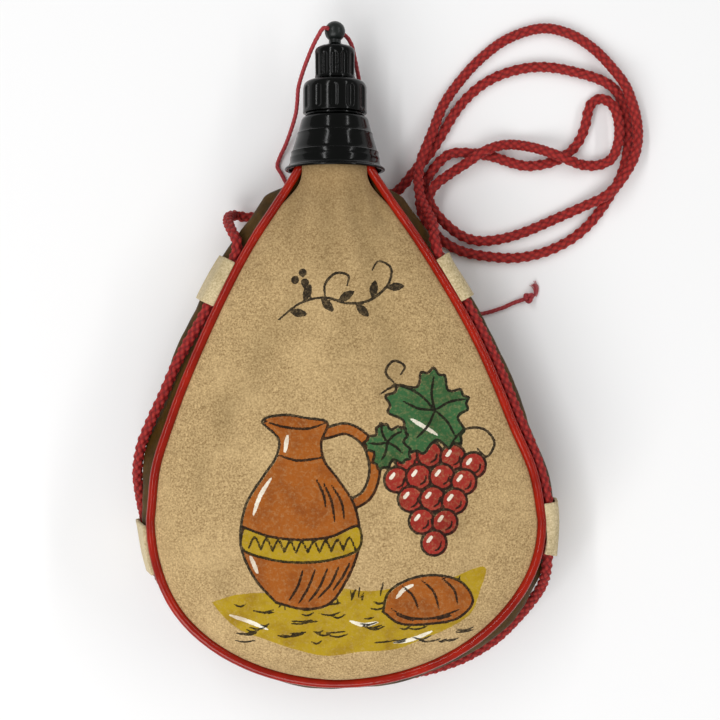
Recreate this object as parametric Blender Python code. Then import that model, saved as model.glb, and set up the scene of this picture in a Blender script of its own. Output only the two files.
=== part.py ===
"""A half-litre leather bota bag, lying on its back.

X runs across the bag, Y from the belly towards the stopper and Z up, away from the
surface that the back panel rests on. All sizes are in metres. The mouthpiece stands on
an axis parallel to Y, and the bag is sewn from a front panel, a back panel and a side
gusset, with piping in both seams.
"""

import math

import bmesh
import bpy
from mathutils import Vector

# Gaps
CLEARANCE = 0.0003
THREAD_CLEARANCE = 0.00035

# The bag's outline, measured at the middle of the front piping
SEAM_HALF_WIDTH = 0.0723
WIDEST_Y = -0.0606
BELLY_DEPTH = 0.0613
BELLY_POWER = 2.1
LIP_Y = 0.0699
SHOULDER_SHARES = (
    (0.0, 1.0),
    (0.14, 0.963),
    (0.27, 0.877),
    (0.40, 0.786),
    (0.53, 0.681),
    (0.66, 0.560),
    (0.79, 0.424),
    (0.91, 0.280),
    (1.0, 0.180),
)
BELLY_LEAN = 0.0042
LEAN_SHARES = (
    (0.0, 0.35),
    (0.12, 0.60),
    (0.24, 1.0),
    (0.36, 1.0),
    (0.50, 0.62),
    (0.68, 0.48),
    (0.84, 0.15),
    (1.0, 0.0),
)

# The bag's heights above the surface it lies on
BAG_THICKNESS = 0.0500
FRONT_SEAM_SHARES = ((0.0, 0.70), (0.15, 0.75), (0.40, 0.77), (0.75, 0.77), (1.0, 0.70))
BACK_SEAM_SHARES = ((0.0, 0.24), (0.15, 0.20), (0.40, 0.19), (0.75, 0.21), (1.0, 0.29))
FRONT_CROWN = 0.0115
FRONT_CROWN_POWER = 0.75
BACK_CROWN = 0.0112
BACK_CROWN_POWER = 0.60
CROWN_WIDTH_POWER = 0.75
GUSSET_BULGE = 0.0092
LEFT_BULGE_SHARES = (
    (0.0, 0.50),
    (0.06, 0.44),
    (0.12, 0.44),
    (0.20, 0.53),
    (0.33, 0.65),
    (0.46, 0.85),
    (0.62, 1.0),
    (0.76, 1.0),
    (0.88, 0.78),
    (1.0, 0.66),
)
RIGHT_BULGE_SHARES = (
    (0.0, 0.50),
    (0.04, 0.52),
    (0.09, 0.64),
    (0.14, 0.72),
    (0.20, 0.56),
    (0.33, 0.65),
    (0.46, 0.68),
    (0.54, 0.77),
    (0.62, 0.75),
    (0.76, 0.71),
    (0.88, 0.60),
    (1.0, 0.60),
)
BACK_SKEW = 0.0012
SUEDE_THICKNESS = 0.0012
PIPING_RADIUS = 0.0015

# The leather neck, gathered into a tube inside the collar
AXIS_X = -0.0048
AXIS_Z = 0.0250
NECK_SEAM_ANGLE = math.radians(57)
NECK_TUBE_Y = 0.0815
NECK_TOP_Y = 0.0879
NECK_RADIUS_SHARES = ((0.0, 1.0), (0.25, 0.86), (0.60, 0.35), (0.85, 0.05), (1.0, 0.0))
NECK_BLEND_LENGTH = 0.0140
PIPING_TUCK = 0.0008

# Mouthpiece, from the inside out
BORE_RADIUS = 0.0068
INSERT_WALL = 0.0017
SPIGOT_RADIUS = BORE_RADIUS + INSERT_WALL
SPIGOT_FOOT_Y = 0.0674
BLADDER_WALL = 0.0006
BLADDER_INSET = 0.0040
BLADDER_DEPTH_SHARE = 0.80
BLADDER_NECK_Y = 0.0754
BINDING_WIRE = 0.0014
BINDING_TURNS = 4
COLLAR_WALL = 0.0016
COLLAR_LIP_HEIGHT = 0.0018
COLLAR_STEP = 0.0004
COLLAR_LOW_STEP_Y = 0.0768
COLLAR_HIGH_STEP_Y = 0.0839
COLLAR_THIN_WALL = 0.0012
COLLAR_TOP_TAPER = 0.0015
COLLAR_MIDDLE_TAPER = 0.0023
COLLAR_FOOT_TAPER = 0.0009
COLLAR_LIP_WALL = 0.0014
COLLAR_TOP_Y = 0.0902
COLLAR_BORE_SHARE = 0.3
COLLAR_LIP_SHARE = 0.3
EDGE = 0.0009
FLANGE_WIDTH = 0.0027
FLANGE_THICKNESS = 0.0007
NECK_FLARE = 0.0046
NECK_TUBE_RADIUS = SPIGOT_RADIUS + BLADDER_WALL + SUEDE_THICKNESS + CLEARANCE * 2
NECK_LIP_RADIUS = NECK_TUBE_RADIUS + NECK_FLARE
BINDING_ROOM_RADIUS = NECK_TUBE_RADIUS + BINDING_WIRE + CLEARANCE * 2
LIP_ROOM_RADIUS = NECK_LIP_RADIUS + PIPING_RADIUS + CLEARANCE * 2
COLLAR_HIGH_STEP_RADIUS = BINDING_ROOM_RADIUS + COLLAR_THIN_WALL
COLLAR_TOP_RADIUS = COLLAR_HIGH_STEP_RADIUS - COLLAR_TOP_TAPER
COLLAR_LOW_STEP_RADIUS = COLLAR_HIGH_STEP_RADIUS + COLLAR_MIDDLE_TAPER
COLLAR_FOOT_RADIUS = COLLAR_LOW_STEP_RADIUS + COLLAR_FOOT_TAPER
COLLAR_LIP_RADIUS = LIP_ROOM_RADIUS + COLLAR_LIP_WALL
FLANGE_RADIUS = SPIGOT_RADIUS + FLANGE_WIDTH

# Filler cap, which screws on the neck insert
FILLER_WALL = 0.0036
FILLER_RADIUS = SPIGOT_RADIUS + FILLER_WALL
FILLER_SKIRT = 0.0098
FILLER_DOME = 0.0029
FILLER_DOME_SHARES = ((0.25, 0.55), (0.85, 0.90), (1.5, 1.0))
FILLER_FLUTES = 12
FILLER_FLUTE_DEPTH = 0.0006
FILLER_PITCH = 0.0026
FILLER_TURNS = 3
FILLER_THREAD_DEPTH = 0.00035
FILLER_THREAD_LENGTH = 0.0060
FILLER_SEAL_THICKNESS = 0.0007
INSERT_TOP_Y = 0.1002

# Drinking spout and stopper
SPOUT_RADIUS = 0.0037
SPOUT_BORE_RADIUS = 0.0012
SPOUT_HEIGHT = 0.0080
STOPPER_PITCH = 0.0020
STOPPER_TURNS = 3
STOPPER_THREAD_DEPTH = 0.0003
STOPPER_THREAD_LENGTH = 0.0048
STOPPER_RADIUS = 0.0076
STOPPER_SKIRT = 0.0110
STOPPER_DOME = 0.0020
STOPPER_DOME_SHARES = ((0.1, 0.0), (0.6, 0.55), (1.6, 1.0))
STALK_FILLET_SHARE = 0.15
STOPPER_RIM = 0.0010
STOPPER_FLUTES = 12
STOPPER_FLUTE_DEPTH = 0.0005
STOPPER_SEAL_THICKNESS = 0.0007
STALK_RADIUS = 0.0023
STALK_LENGTH = 0.0020
BALL_RADIUS = 0.0039
BALL_ROWS = 7
STRING_HOLE_RADIUS = 0.0012
STRING_HOLE_DIRECTION = Vector((0.75, -0.15, -0.65)).normalized()

# Cords. Each route is a list of places that the middle of the cord goes through, chosen
# by hand on the bag and on the surface under it.
CORD_DIAMETER = 0.0042
STRING_DIAMETER = 0.0016
EDGE_CORD_ROUTE = (
    (-0.0466, 0.0278, 0.0354),
    (-0.0493, 0.0231, 0.0352),
    (-0.0543, 0.0133, 0.0345),
    (-0.0594, 0.0048, 0.0335),
    (-0.0640, -0.0036, 0.0326),
    (-0.0689, -0.0148, 0.0317),
    (-0.0737, -0.0245, 0.0297),
    (-0.0777, -0.0337, 0.0268),
    (-0.0800, -0.0437, 0.0220),
    (-0.0800, -0.0514, 0.0180),
    (-0.0792, -0.0585, 0.0150),
    (-0.0776, -0.0665, 0.0136),
    (-0.0762, -0.0752, 0.0133),
    (-0.0735, -0.0845, 0.0126),
    (-0.0690, -0.0925, 0.0104),
    (-0.0627, -0.1002, 0.0068),
    (-0.0545, -0.1078, 0.0040),
    (-0.0450, -0.1142, 0.0026),
    (-0.0340, -0.1197, 0.0022),
    (-0.0228, -0.1236, 0.0022),
    (-0.0110, -0.1262, 0.0022),
    (0.0008, -0.1272, 0.0022),
    (0.0126, -0.1268, 0.0022),
    (0.0244, -0.1255, 0.0022),
    (0.0348, -0.1232, 0.0023),
    (0.0468, -0.1186, 0.0030),
    (0.0584, -0.1108, 0.0052),
    (0.0667, -0.1012, 0.0100),
    (0.0709, -0.0948, 0.0145),
    (0.0740, -0.0880, 0.0206),
    (0.0748, -0.0808, 0.0282),
    (0.0748, -0.0720, 0.0330),
    (0.0750, -0.0599, 0.0353),
    (0.0731, -0.0475, 0.0355),
    (0.0690, -0.0349, 0.0357),
    (0.0637, -0.0230, 0.0359),
    (0.0589, -0.0110, 0.0360),
    (0.0537, 0.0011, 0.0361),
    (0.0476, 0.0133, 0.0360),
    (0.0407, 0.0254, 0.0358),
    (0.0380, 0.0298, 0.0357),
)
STRAP_ROUTE = (
    (0.0378, 0.0301, 0.0357),
    (0.0356, 0.0341, 0.0356),
    (0.0336, 0.0385, 0.0352),
    (0.0325, 0.0431, 0.0332),
    (0.0323, 0.0489, 0.0280),
    (0.0305, 0.0547, 0.0210),
    (0.0282, 0.0601, 0.0160),
    (0.0275, 0.0650, 0.0122),
    (0.0275, 0.0700, 0.0093),
    (0.0284, 0.0758, 0.0075),
    (0.0304, 0.0812, 0.0067),
    (0.0332, 0.0880, 0.0056),
    (0.0376, 0.0987, 0.0038),
    (0.0441, 0.1083, 0.0023),
    (0.0525, 0.1174, 0.0022),
    (0.0631, 0.1251, 0.0022),
    (0.0768, 0.1292, 0.0022),
    (0.0875, 0.1270, 0.0022),
    (0.0967, 0.1212, 0.0025),
    (0.1040, 0.1130, 0.0044),
    (0.1086, 0.1060, 0.0063),
    (0.1116, 0.0984, 0.0065),
    (0.1133, 0.0915, 0.0062),
    (0.1136, 0.0847, 0.0062),
    (0.1121, 0.0778, 0.0066),
    (0.1088, 0.0716, 0.0070),
    (0.1050, 0.0664, 0.0072),
    (0.1003, 0.0622, 0.0067),
    (0.0928, 0.0588, 0.0038),
    (0.0814, 0.0538, 0.0023),
    (0.0700, 0.0489, 0.0022),
    (0.0601, 0.0460, 0.0022),
    (0.0510, 0.0453, 0.0028),
    (0.0443, 0.0473, 0.0046),
    (0.0384, 0.0516, 0.0059),
    (0.0338, 0.0568, 0.0063),
    (0.0317, 0.0618, 0.0066),
    (0.0340, 0.0665, 0.0062),
    (0.0397, 0.0713, 0.0036),
    (0.0464, 0.0755, 0.0056),
    (0.0529, 0.0798, 0.0070),
    (0.0593, 0.0824, 0.0050),
    (0.0654, 0.0832, 0.0028),
    (0.0738, 0.0815, 0.0048),
    (0.0812, 0.0787, 0.0070),
    (0.0867, 0.0766, 0.0064),
    (0.0928, 0.0752, 0.0026),
    (0.0990, 0.0752, 0.0026),
    (0.1036, 0.0775, 0.0042),
    (0.1058, 0.0828, 0.0056),
    (0.1063, 0.0895, 0.0060),
    (0.1050, 0.0962, 0.0056),
    (0.1031, 0.0995, 0.0040),
    (0.1000, 0.1014, 0.0024),
    (0.0964, 0.0999, 0.0022),
    (0.0947, 0.0962, 0.0022),
    (0.0938, 0.0915, 0.0022),
    (0.0918, 0.0860, 0.0022),
    (0.0888, 0.0816, 0.0022),
    (0.0848, 0.0784, 0.0022),
    (0.0806, 0.0765, 0.0022),
    (0.0753, 0.0752, 0.0022),
    (0.0700, 0.0749, 0.0022),
    (0.0639, 0.0763, 0.0022),
    (0.0583, 0.0782, 0.0022),
    (0.0525, 0.0794, 0.0022),
    (0.0456, 0.0801, 0.0022),
    (0.0402, 0.0796, 0.0022),
    (0.0360, 0.0764, 0.0022),
    (0.0325, 0.0719, 0.0022),
    (0.0298, 0.0670, 0.0022),
    (0.0284, 0.0614, 0.0022),
    (0.0293, 0.0560, 0.0022),
    (0.0316, 0.0514, 0.0022),
    (0.0354, 0.0470, 0.0022),
    (0.0402, 0.0434, 0.0022),
    (0.0465, 0.0407, 0.0022),
    (0.0586, 0.0388, 0.0022),
    (0.0662, 0.0386, 0.0022),
    (0.0738, 0.0398, 0.0022),
    (0.0814, 0.0424, 0.0022),
    (0.0890, 0.0466, 0.0022),
    (0.0951, 0.0519, 0.0022),
    (0.0997, 0.0576, 0.0022),
    (0.1035, 0.0634, 0.0022),
    (0.1066, 0.0687, 0.0022),
    (0.1088, 0.0740, 0.0022),
    (0.1101, 0.0801, 0.0022),
    (0.1106, 0.0877, 0.0022),
    (0.1100, 0.0938, 0.0022),
    (0.1083, 0.0999, 0.0022),
    (0.1055, 0.1048, 0.0022),
    (0.1018, 0.1078, 0.0022),
    (0.0960, 0.1102, 0.0022),
    (0.0890, 0.1121, 0.0022),
    (0.0814, 0.1136, 0.0022),
    (0.0738, 0.1139, 0.0022),
    (0.0662, 0.1127, 0.0022),
    (0.0586, 0.1101, 0.0022),
    (0.0525, 0.1066, 0.0022),
    (0.0464, 0.1012, 0.0022),
    (0.0420, 0.0956, 0.0022),
    (0.0385, 0.0898, 0.0022),
    (0.0352, 0.0842, 0.0022),
    (0.0318, 0.0792, 0.0022),
    (0.0282, 0.0752, 0.0022),
    (0.0252, 0.0717, 0.0022),
    (0.0222, 0.0678, 0.0022),
    (0.0182, 0.0642, 0.0022),
    (0.0106, 0.0619, 0.0022),
    (0.0006, 0.0612, 0.0025),
    (-0.0094, 0.0602, 0.0033),
    (-0.0194, 0.0586, 0.0041),
    (-0.0294, 0.0562, 0.0038),
    (-0.0390, 0.0545, 0.0030),
    (-0.0442, 0.0550, 0.0055),
    (-0.0460, 0.0538, 0.0120),
    (-0.0456, 0.0508, 0.0200),
    (-0.0435, 0.0468, 0.0280),
    (-0.0412, 0.0422, 0.0333),
    (-0.0416, 0.0374, 0.0350),
    (-0.0438, 0.0328, 0.0354),
    (-0.0464, 0.0281, 0.0354),
)
TETHER_ROUTE = (
    (-0.02155, 0.05875, 0.0009),
    (-0.0223, 0.0620, 0.0009),
    (-0.0242, 0.0674, 0.0010),
    (-0.0265, 0.0721, 0.0010),
    (-0.0280, 0.0748, 0.0010),
    (-0.0272, 0.0778, 0.0015),
    (-0.0246, 0.0831, 0.0030),
    (-0.0224, 0.0885, 0.0050),
    (-0.0204, 0.0944, 0.0080),
    (-0.0197, 0.0982, 0.0110),
    (-0.0191, 0.1030, 0.0150),
    (-0.0174, 0.1076, 0.0200),
    (-0.0150, 0.1130, 0.0240),
    (-0.0132, 0.1168, 0.0258),
    (-0.0110, 0.1206, 0.0274),
    (-0.0089, 0.1232, 0.0284),
    (-0.0048, 0.12265, 0.0250),
    (-0.0007, 0.1217, 0.0216),
    (0.0013, 0.1190, 0.0206),
    (0.0024, 0.1150, 0.0196),
    (0.0034, 0.1104, 0.0179),
    (0.0044, 0.1052, 0.0160),
    (0.0046, 0.1004, 0.0135),
    (0.0041, 0.0944, 0.0110),
    (0.0031, 0.0884, 0.0090),
    (0.0020, 0.0834, 0.0066),
    (0.0010, 0.0764, 0.0040),
    (-0.0014, 0.0699, 0.0024),
    (-0.0084, 0.0656, 0.0012),
    (-0.0145, 0.0628, 0.0009),
    (-0.0178, 0.0595, 0.0009),
    (-0.0196, 0.0574, 0.0009),
)
TAIL_ROUTE = (
    (-0.0252, 0.0568, 0.0009),
    (-0.0246, 0.0543, 0.0009),
    (-0.0222, 0.0512, 0.0009),
    (-0.0150, 0.0466, 0.0009),
    (0.0020, 0.0400, 0.0009),
    (0.0210, 0.0310, 0.0009),
    (0.0390, 0.0210, 0.0009),
    (0.0500, 0.0165, 0.0009),
    (0.0602, 0.0186, 0.0009),
    (0.0655, 0.0209, 0.0009),
    (0.06865, 0.0220, 0.0012),
)
FRAY_ROUTE = (
    (0.0739, 0.0238, 0.0012),
    (0.0744, 0.0252, 0.0009),
    (0.0744, 0.0272, 0.0009),
    (0.0738, 0.0284, 0.0009),
)
KNOT_PLACE = (0.0713, 0.0229, 0.0022)
KNOT_RADIUS = 0.0021
HITCH_PLACE = (-0.0233, 0.0577, 0.0041)
HITCH_DIRECTION = (-0.9705, -0.2410, 0.0)
HITCH_TURNS = 2
HITCH_PITCH = 0.0020

# Suede loops that hold the cord
LOOP_LENGTH = 0.0180
LOOP_THICKNESS = 0.0011
UPPER_LEFT_LOOP_SHARE = 0.768
UPPER_RIGHT_LOOP_SHARE = 0.775
LOWER_LEFT_LOOP_SHARE = 0.262
LOWER_RIGHT_LOOP_SHARE = 0.302

# How finely the shapes are drawn
NECK_ROWS = 4
SHOULDER_ROWS = 13
SHOULDER_ROW_POWER = 1.35
BELLY_ROWS = 8
PANEL_COLUMNS = 10
GUSSET_COLUMNS = 6
TURNED_SEGMENTS = 36
COLLAR_SEGMENTS = 28
BLADDER_SEGMENTS = 16
THREAD_ROWS_PER_TURN = 4
LOOP_ROWS = 4
LOOP_COLUMNS = 14
LOOP_PROBES = 24
LOOP_SEARCH = 30
EDGE_CORD_STEP = 2.4
STRAP_STEP = 1.45
STRING_STEP = 2.4
HITCH_POINTS = 12
STRING_HOLE_SIDES = 12
ROUTE_PIECES = 24
SMOOTH_ANGLE = math.radians(40)
OUTLINE_STEP_SHARE = 0.0025

AXIS = Vector((AXIS_X, 0.0, AXIS_Z))


def curve_at(table, x):
    """A smooth curve through a table of (place, value) pairs."""
    if x <= table[0][0]:
        return table[0][1]
    if x >= table[-1][0]:
        return table[-1][1]
    last = len(table) - 1
    i = max(k for k in range(last) if table[k][0] <= x)

    def slope(k):
        low, high = max(k - 1, 0), min(k + 1, last)
        return (table[high][1] - table[low][1]) / (table[high][0] - table[low][0])

    (x0, y0), (x1, y1) = table[i], table[i + 1]
    span = x1 - x0
    t = (x - x0) / span
    return (
        y0 * (2 * t ** 3 - 3 * t ** 2 + 1)
        + slope(i) * span * (t ** 3 - 2 * t ** 2 + t)
        + y1 * (3 * t ** 2 - 2 * t ** 3)
        + slope(i + 1) * span * (t ** 3 - t ** 2)
    )


def ease(x):
    """A smooth step from 0 to 1."""
    x = min(1.0, max(0.0, x))
    return x * x * (3 - 2 * x)


def mix(a, b, share):
    return a + (b - a) * share


# Outline of the bag


def bottom_y():
    return WIDEST_Y - BELLY_DEPTH


def along(y):
    """Share of the bag's length, 0 at its lowest seam and 1 under the collar's lip."""
    return (y - bottom_y()) / (LIP_Y - bottom_y())


def neck_radius(y):
    """Outer radius of the gathered leather at and above the collar's lip."""
    share = curve_at(NECK_RADIUS_SHARES, (y - LIP_Y) / (NECK_TUBE_Y - LIP_Y))
    return mix(NECK_TUBE_RADIUS, NECK_LIP_RADIUS, share)


def half_width(y):
    """Distance from the bag's centre line to the middle of the piping."""
    if y >= LIP_Y:
        return neck_radius(y) * math.sin(NECK_SEAM_ANGLE)
    if y >= WIDEST_Y:
        share = curve_at(SHOULDER_SHARES, (y - WIDEST_Y) / (LIP_Y - WIDEST_Y))
        lip = NECK_LIP_RADIUS * math.sin(NECK_SEAM_ANGLE)
        end_share = SHOULDER_SHARES[-1][1]
        return lip + (SEAM_HALF_WIDTH - lip) * (share - end_share) / (1 - end_share)
    fall = (WIDEST_Y - y) / BELLY_DEPTH
    return SEAM_HALF_WIDTH * math.sqrt(max(0.0, 1 - fall ** BELLY_POWER))


def centre_x(y):
    return AXIS_X + BELLY_LEAN * curve_at(LEAN_SHARES, along(y))


def neckness(y):
    """0 where the section is the bag's own, 1 where it is round like the neck."""
    return ease((y - LIP_Y + NECK_BLEND_LENGTH) / NECK_BLEND_LENGTH)


def seam_height(y, front):
    shares = FRONT_SEAM_SHARES if front else BACK_SEAM_SHARES
    belly = BAG_THICKNESS * curve_at(shares, along(y))
    rise = neck_radius(y) * math.cos(NECK_SEAM_ANGLE)
    neck = AXIS_Z + (rise if front else -rise)
    return mix(belly, neck, neckness(y))


def skew(y, depth_share):
    """The back half of the belly sits a little to the right of the front half."""
    return BACK_SKEW * depth_share * curve_at(LEAN_SHARES, along(y))


def row_heights():
    """The Y of each row, from the neck's top down to the row above the lowest point."""
    rows = [mix(NECK_TOP_Y, LIP_Y, i / NECK_ROWS) for i in range(NECK_ROWS)]
    for i in range(SHOULDER_ROWS):
        rows.append(mix(LIP_Y, WIDEST_Y, (i / SHOULDER_ROWS) ** SHOULDER_ROW_POWER))
    for i in range(BELLY_ROWS):
        rows.append(WIDEST_Y - BELLY_DEPTH * math.sin(math.pi / 2 * i / BELLY_ROWS))
    return rows


def round_the_seam(rows):
    """(side, y) of each station along the outline, left side down, right side up."""
    stations = [(-1, y) for y in rows]
    stations.append((0, bottom_y()))
    stations += [(1, y) for y in reversed(rows)]
    return stations


def seam_point(side, y, front):
    depth_share = 0.0 if front else 1.0
    x = centre_x(y) + side * half_width(y) + skew(y, depth_share)
    return Vector((x, y, seam_height(y, front)))


def outline_normal(side, y):
    """The outline's outward direction in the XY plane."""
    if side == 0:
        return Vector((0.0, -1.0, 0.0))
    step = BELLY_DEPTH * OUTLINE_STEP_SHARE
    high = seam_point(side, min(y + step, LIP_Y), True)
    low = seam_point(side, max(min(y, LIP_Y) - step, bottom_y()), True)
    run = high - low
    normal = Vector((run.y, -run.x, 0.0)).normalized() * side
    straight = Vector((side, 0.0, 0.0))
    return normal.lerp(straight, neckness(y)).normalized()


def inside_seam(side, y, front, inset):
    """A point level with the seam, the inset's distance inside the outline."""
    return seam_point(side, y, front) - outline_normal(side, y) * inset


def panel_point(y, v, front):
    """A point of a panel's outer face, v from -1 at the left seam to 1 at the right."""
    edge = PIPING_RADIUS + CLEARANCE
    left, right = inside_seam(-1, y, front, edge), inside_seam(1, y, front, edge)
    belly = left.lerp(right, (v + 1) / 2)
    crown_share = (half_width(y) / SEAM_HALF_WIDTH) ** CROWN_WIDTH_POWER
    bow = max(0.0, 1 - v * v)
    if front:
        belly.z += FRONT_CROWN * crown_share * bow ** FRONT_CROWN_POWER
    else:
        belly.z -= BACK_CROWN * crown_share * bow ** BACK_CROWN_POWER
    radius = neck_radius(y)
    angle = (NECK_SEAM_ANGLE - edge / NECK_LIP_RADIUS) * v
    rise = radius * math.cos(angle)
    neck = Vector((AXIS_X + radius * math.sin(angle), y, AXIS_Z + (rise if front else -rise)))
    point = belly.lerp(neck, neckness(y))
    point.z = max(point.z, 0.0)
    return point


def gusset_point(side, y, depth):
    """A point of the gusset's outer face, depth from 0 at the front seam to 1 at the back."""
    edge = PIPING_RADIUS + CLEARANCE
    front, back = seam_point(side, y, True), seam_point(side, y, False)
    front.z -= edge
    back.z += edge
    shares = RIGHT_BULGE_SHARES if side > 0 else LEFT_BULGE_SHARES
    bulge = GUSSET_BULGE * curve_at(shares, along(y))
    out = bulge * math.sin(math.pi * depth) ** 2
    belly = front.lerp(back, depth) + outline_normal(side, y) * out
    radius = neck_radius(y)
    start = NECK_SEAM_ANGLE + edge / NECK_LIP_RADIUS
    angle = mix(start, math.pi - start, depth)
    neck = Vector(
        (AXIS_X + side * radius * math.sin(angle), y, AXIS_Z + radius * math.cos(angle))
    )
    return belly.lerp(neck, neckness(y))


# Building blocks


def new_material(name, colour, roughness, metallic=0.0):
    material = bpy.data.materials.new(name)
    material.use_nodes = True
    shader = material.node_tree.nodes["Principled BSDF"]
    shader.inputs["Base Color"].default_value = (*colour, 1.0)
    shader.inputs["Roughness"].default_value = roughness
    shader.inputs["Metallic"].default_value = metallic
    material.diffuse_color = (*colour, 1.0)
    return material


def new_object(name, bm, material, origin=None):
    """An object from a bmesh in world places, with its origin moved to a joint's axis."""
    bmesh.ops.recalc_face_normals(bm, faces=bm.faces[:])
    mesh = bpy.data.meshes.new(name)
    if origin is not None:
        bmesh.ops.translate(bm, verts=bm.verts[:], vec=-origin)
    bm.to_mesh(mesh)
    bm.free()
    obj = bpy.data.objects.new(name, mesh)
    bpy.context.scene.collection.objects.link(obj)
    if origin is not None:
        obj.location = origin
    mesh.shade_smooth()
    mesh.set_sharp_from_angle(angle=SMOOTH_ANGLE)
    mesh.materials.append(material)
    return obj


def sheet(rows, closing_point=None):
    """A bmesh surface through rows of points, with an optional point past the last row."""
    bm = bmesh.new()
    grid = [[bm.verts.new(p) for p in row] for row in rows]
    for upper, lower in zip(grid, grid[1:]):
        for i in range(len(upper) - 1):
            bm.faces.new((upper[i], upper[i + 1], lower[i + 1], lower[i]))
    if closing_point is not None:
        tip = bm.verts.new(closing_point)
        last = grid[-1]
        for i in range(len(last) - 1):
            bm.faces.new((last[i], last[i + 1], tip))
    return bm


def thicken(bm, thickness, inwards_of):
    """Gives a surface its wall, on the side away from the direction that a face looks."""
    bmesh.ops.recalc_face_normals(bm, faces=bm.faces[:])
    face = max(bm.faces, key=lambda f: f.calc_area())
    if face.normal.dot(face.calc_center_median() - inwards_of) < 0:
        bmesh.ops.reverse_faces(bm, faces=bm.faces[:])
    outer = list(bm.verts)
    bm.normal_update()
    wall = {v: bm.verts.new(v.co - v.normal * thickness) for v in outer}
    rim = [e for e in bm.edges if e.is_boundary]
    for f in list(bm.faces):
        bm.faces.new([wall[v] for v in reversed(f.verts)])
    for e in rim:
        a, b = e.verts
        bm.faces.new((a, b, wall[b], wall[a]))
    return bm


def turned(loop, segments, flutes=0):
    """A closed profile turned about the mouthpiece's axis.

    Each point of the loop is (radius, y, flute depth, thread depth, pitch). A point of
    radius zero lies on the axis. A thread is right-handed: it climbs towards +Y as the
    angle grows by the right-hand rule about +Y.
    """
    bm = bmesh.new()
    rings = []
    for radius, y, flute, thread, pitch in loop:
        if radius <= 0:
            rings.append([bm.verts.new(AXIS + Vector((0.0, y, 0.0)))] * segments)
            continue
        ring = []
        for i in range(segments):
            angle = math.tau * i / segments
            r = radius - flute * (0.5 + 0.5 * math.cos(flutes * angle))
            r += thread * math.cos(math.tau * y / pitch - angle)
            place = Vector((r * math.sin(angle), y, r * math.cos(angle)))
            ring.append(bm.verts.new(AXIS + place))
        rings.append(ring)
    pairs = list(zip(rings, rings[1:]))
    if loop[0][0] > 0:
        pairs.append((rings[-1], rings[0]))
    for a, b in pairs:
        for i in range(segments):
            j = (i + 1) % segments
            corners = [a[i], a[j], b[j], b[i]]
            corners = [v for k, v in enumerate(corners) if v not in corners[:k]]
            if len(corners) > 2:
                bm.faces.new(corners)
    return bm


def plain(points, flute=0.0):
    """Profile points without a thread."""
    return [(r, y, flute, 0.0, 1.0) for r, y in points]


def thread_rows(radius, y_from, y_to, depth, pitch):
    """Profile points of a threaded wall, whose thread fades in and out at its ends."""
    count = max(2, round(abs(y_to - y_from) / pitch * THREAD_ROWS_PER_TURN))
    rows = []
    for i in range(count + 1):
        share = i / count
        fade = min(1.0, share * count / 2, (1 - share) * count / 2)
        rows.append((radius, mix(y_from, y_to, share), 0.0, depth * fade, pitch))
    return rows


def smooth_route(points, step):
    """Points about a step apart on a smooth curve through the route's own points."""
    places = [Vector(p) for p in points]
    first = places[0] * 2 - places[1]
    last = places[-1] * 2 - places[-2]
    knots = [first] + places + [last]
    fine = []
    for i in range(1, len(knots) - 2):
        p0, p1, p2, p3 = knots[i - 1:i + 3]
        t0, t1 = 0.0, math.sqrt((p1 - p0).length)
        t2 = t1 + math.sqrt((p2 - p1).length)
        t3 = t2 + math.sqrt((p3 - p2).length)
        for k in range(ROUTE_PIECES):
            t = mix(t1, t2, k / ROUTE_PIECES)
            a1 = p0.lerp(p1, (t - t0) / (t1 - t0))
            a2 = p1.lerp(p2, (t - t1) / (t2 - t1))
            a3 = p2.lerp(p3, (t - t2) / (t3 - t2))
            b1 = a1.lerp(a2, (t - t0) / (t2 - t0))
            b2 = a2.lerp(a3, (t - t1) / (t3 - t1))
            fine.append(b1.lerp(b2, (t - t1) / (t2 - t1)))
    fine.append(places[-1])
    run = [0.0]
    for a, b in zip(fine, fine[1:]):
        run.append(run[-1] + (b - a).length)
    count = max(2, round(run[-1] / step))
    route, k = [], 0
    for i in range(count + 1):
        goal = run[-1] * i / count
        while k < len(run) - 2 and run[k + 1] < goal:
            k += 1
        share = (goal - run[k]) / max(run[k + 1] - run[k], 1e-12)
        route.append(fine[k].lerp(fine[k + 1], min(1.0, share)))
    return route, run[-1]


def tube(name, route, radius, material, sides_level=2):
    """A round cord along a route, with filled ends."""
    curve = bpy.data.curves.new(name, "CURVE")
    curve.dimensions = "3D"
    curve.bevel_depth = radius
    curve.bevel_resolution = sides_level
    curve.use_fill_caps = True
    spline = curve.splines.new("POLY")
    spline.points.add(len(route) - 1)
    for point, place in zip(spline.points, route):
        point.co = (*place, 1.0)
    obj = bpy.data.objects.new(name, curve)
    bpy.context.scene.collection.objects.link(obj)
    curve.materials.append(material)
    return obj


# The sewn bag


def make_panel(name, front, material):
    columns = [2 * i / PANEL_COLUMNS - 1 for i in range(PANEL_COLUMNS + 1)]
    rows = [[panel_point(y, v, front) for v in columns] for y in row_heights()]
    tip = inside_seam(0, bottom_y(), front, PIPING_RADIUS + CLEARANCE)
    bm = sheet(rows, tip)
    thicken(bm, SUEDE_THICKNESS, Vector((AXIS_X, WIDEST_Y, AXIS_Z)))
    return new_object(name, bm, material)


def make_gusset(material):
    stations = round_the_seam(row_heights())
    depths = [i / GUSSET_COLUMNS for i in range(GUSSET_COLUMNS + 1)]
    grid = [[gusset_point(side, y, d) for d in depths] for side, y in stations]
    bm = sheet(grid)
    thicken(bm, SUEDE_THICKNESS, Vector((AXIS_X, WIDEST_Y, AXIS_Z)))
    return new_object("side_gusset", bm, material)


def make_piping(name, front, material):
    top = LIP_Y + PIPING_TUCK
    rows = [top] + [y for y in row_heights() if y <= LIP_Y]
    route = [seam_point(side, y, front) for side, y in round_the_seam(rows)]
    return tube(name, route, PIPING_RADIUS, material, 1)


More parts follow.
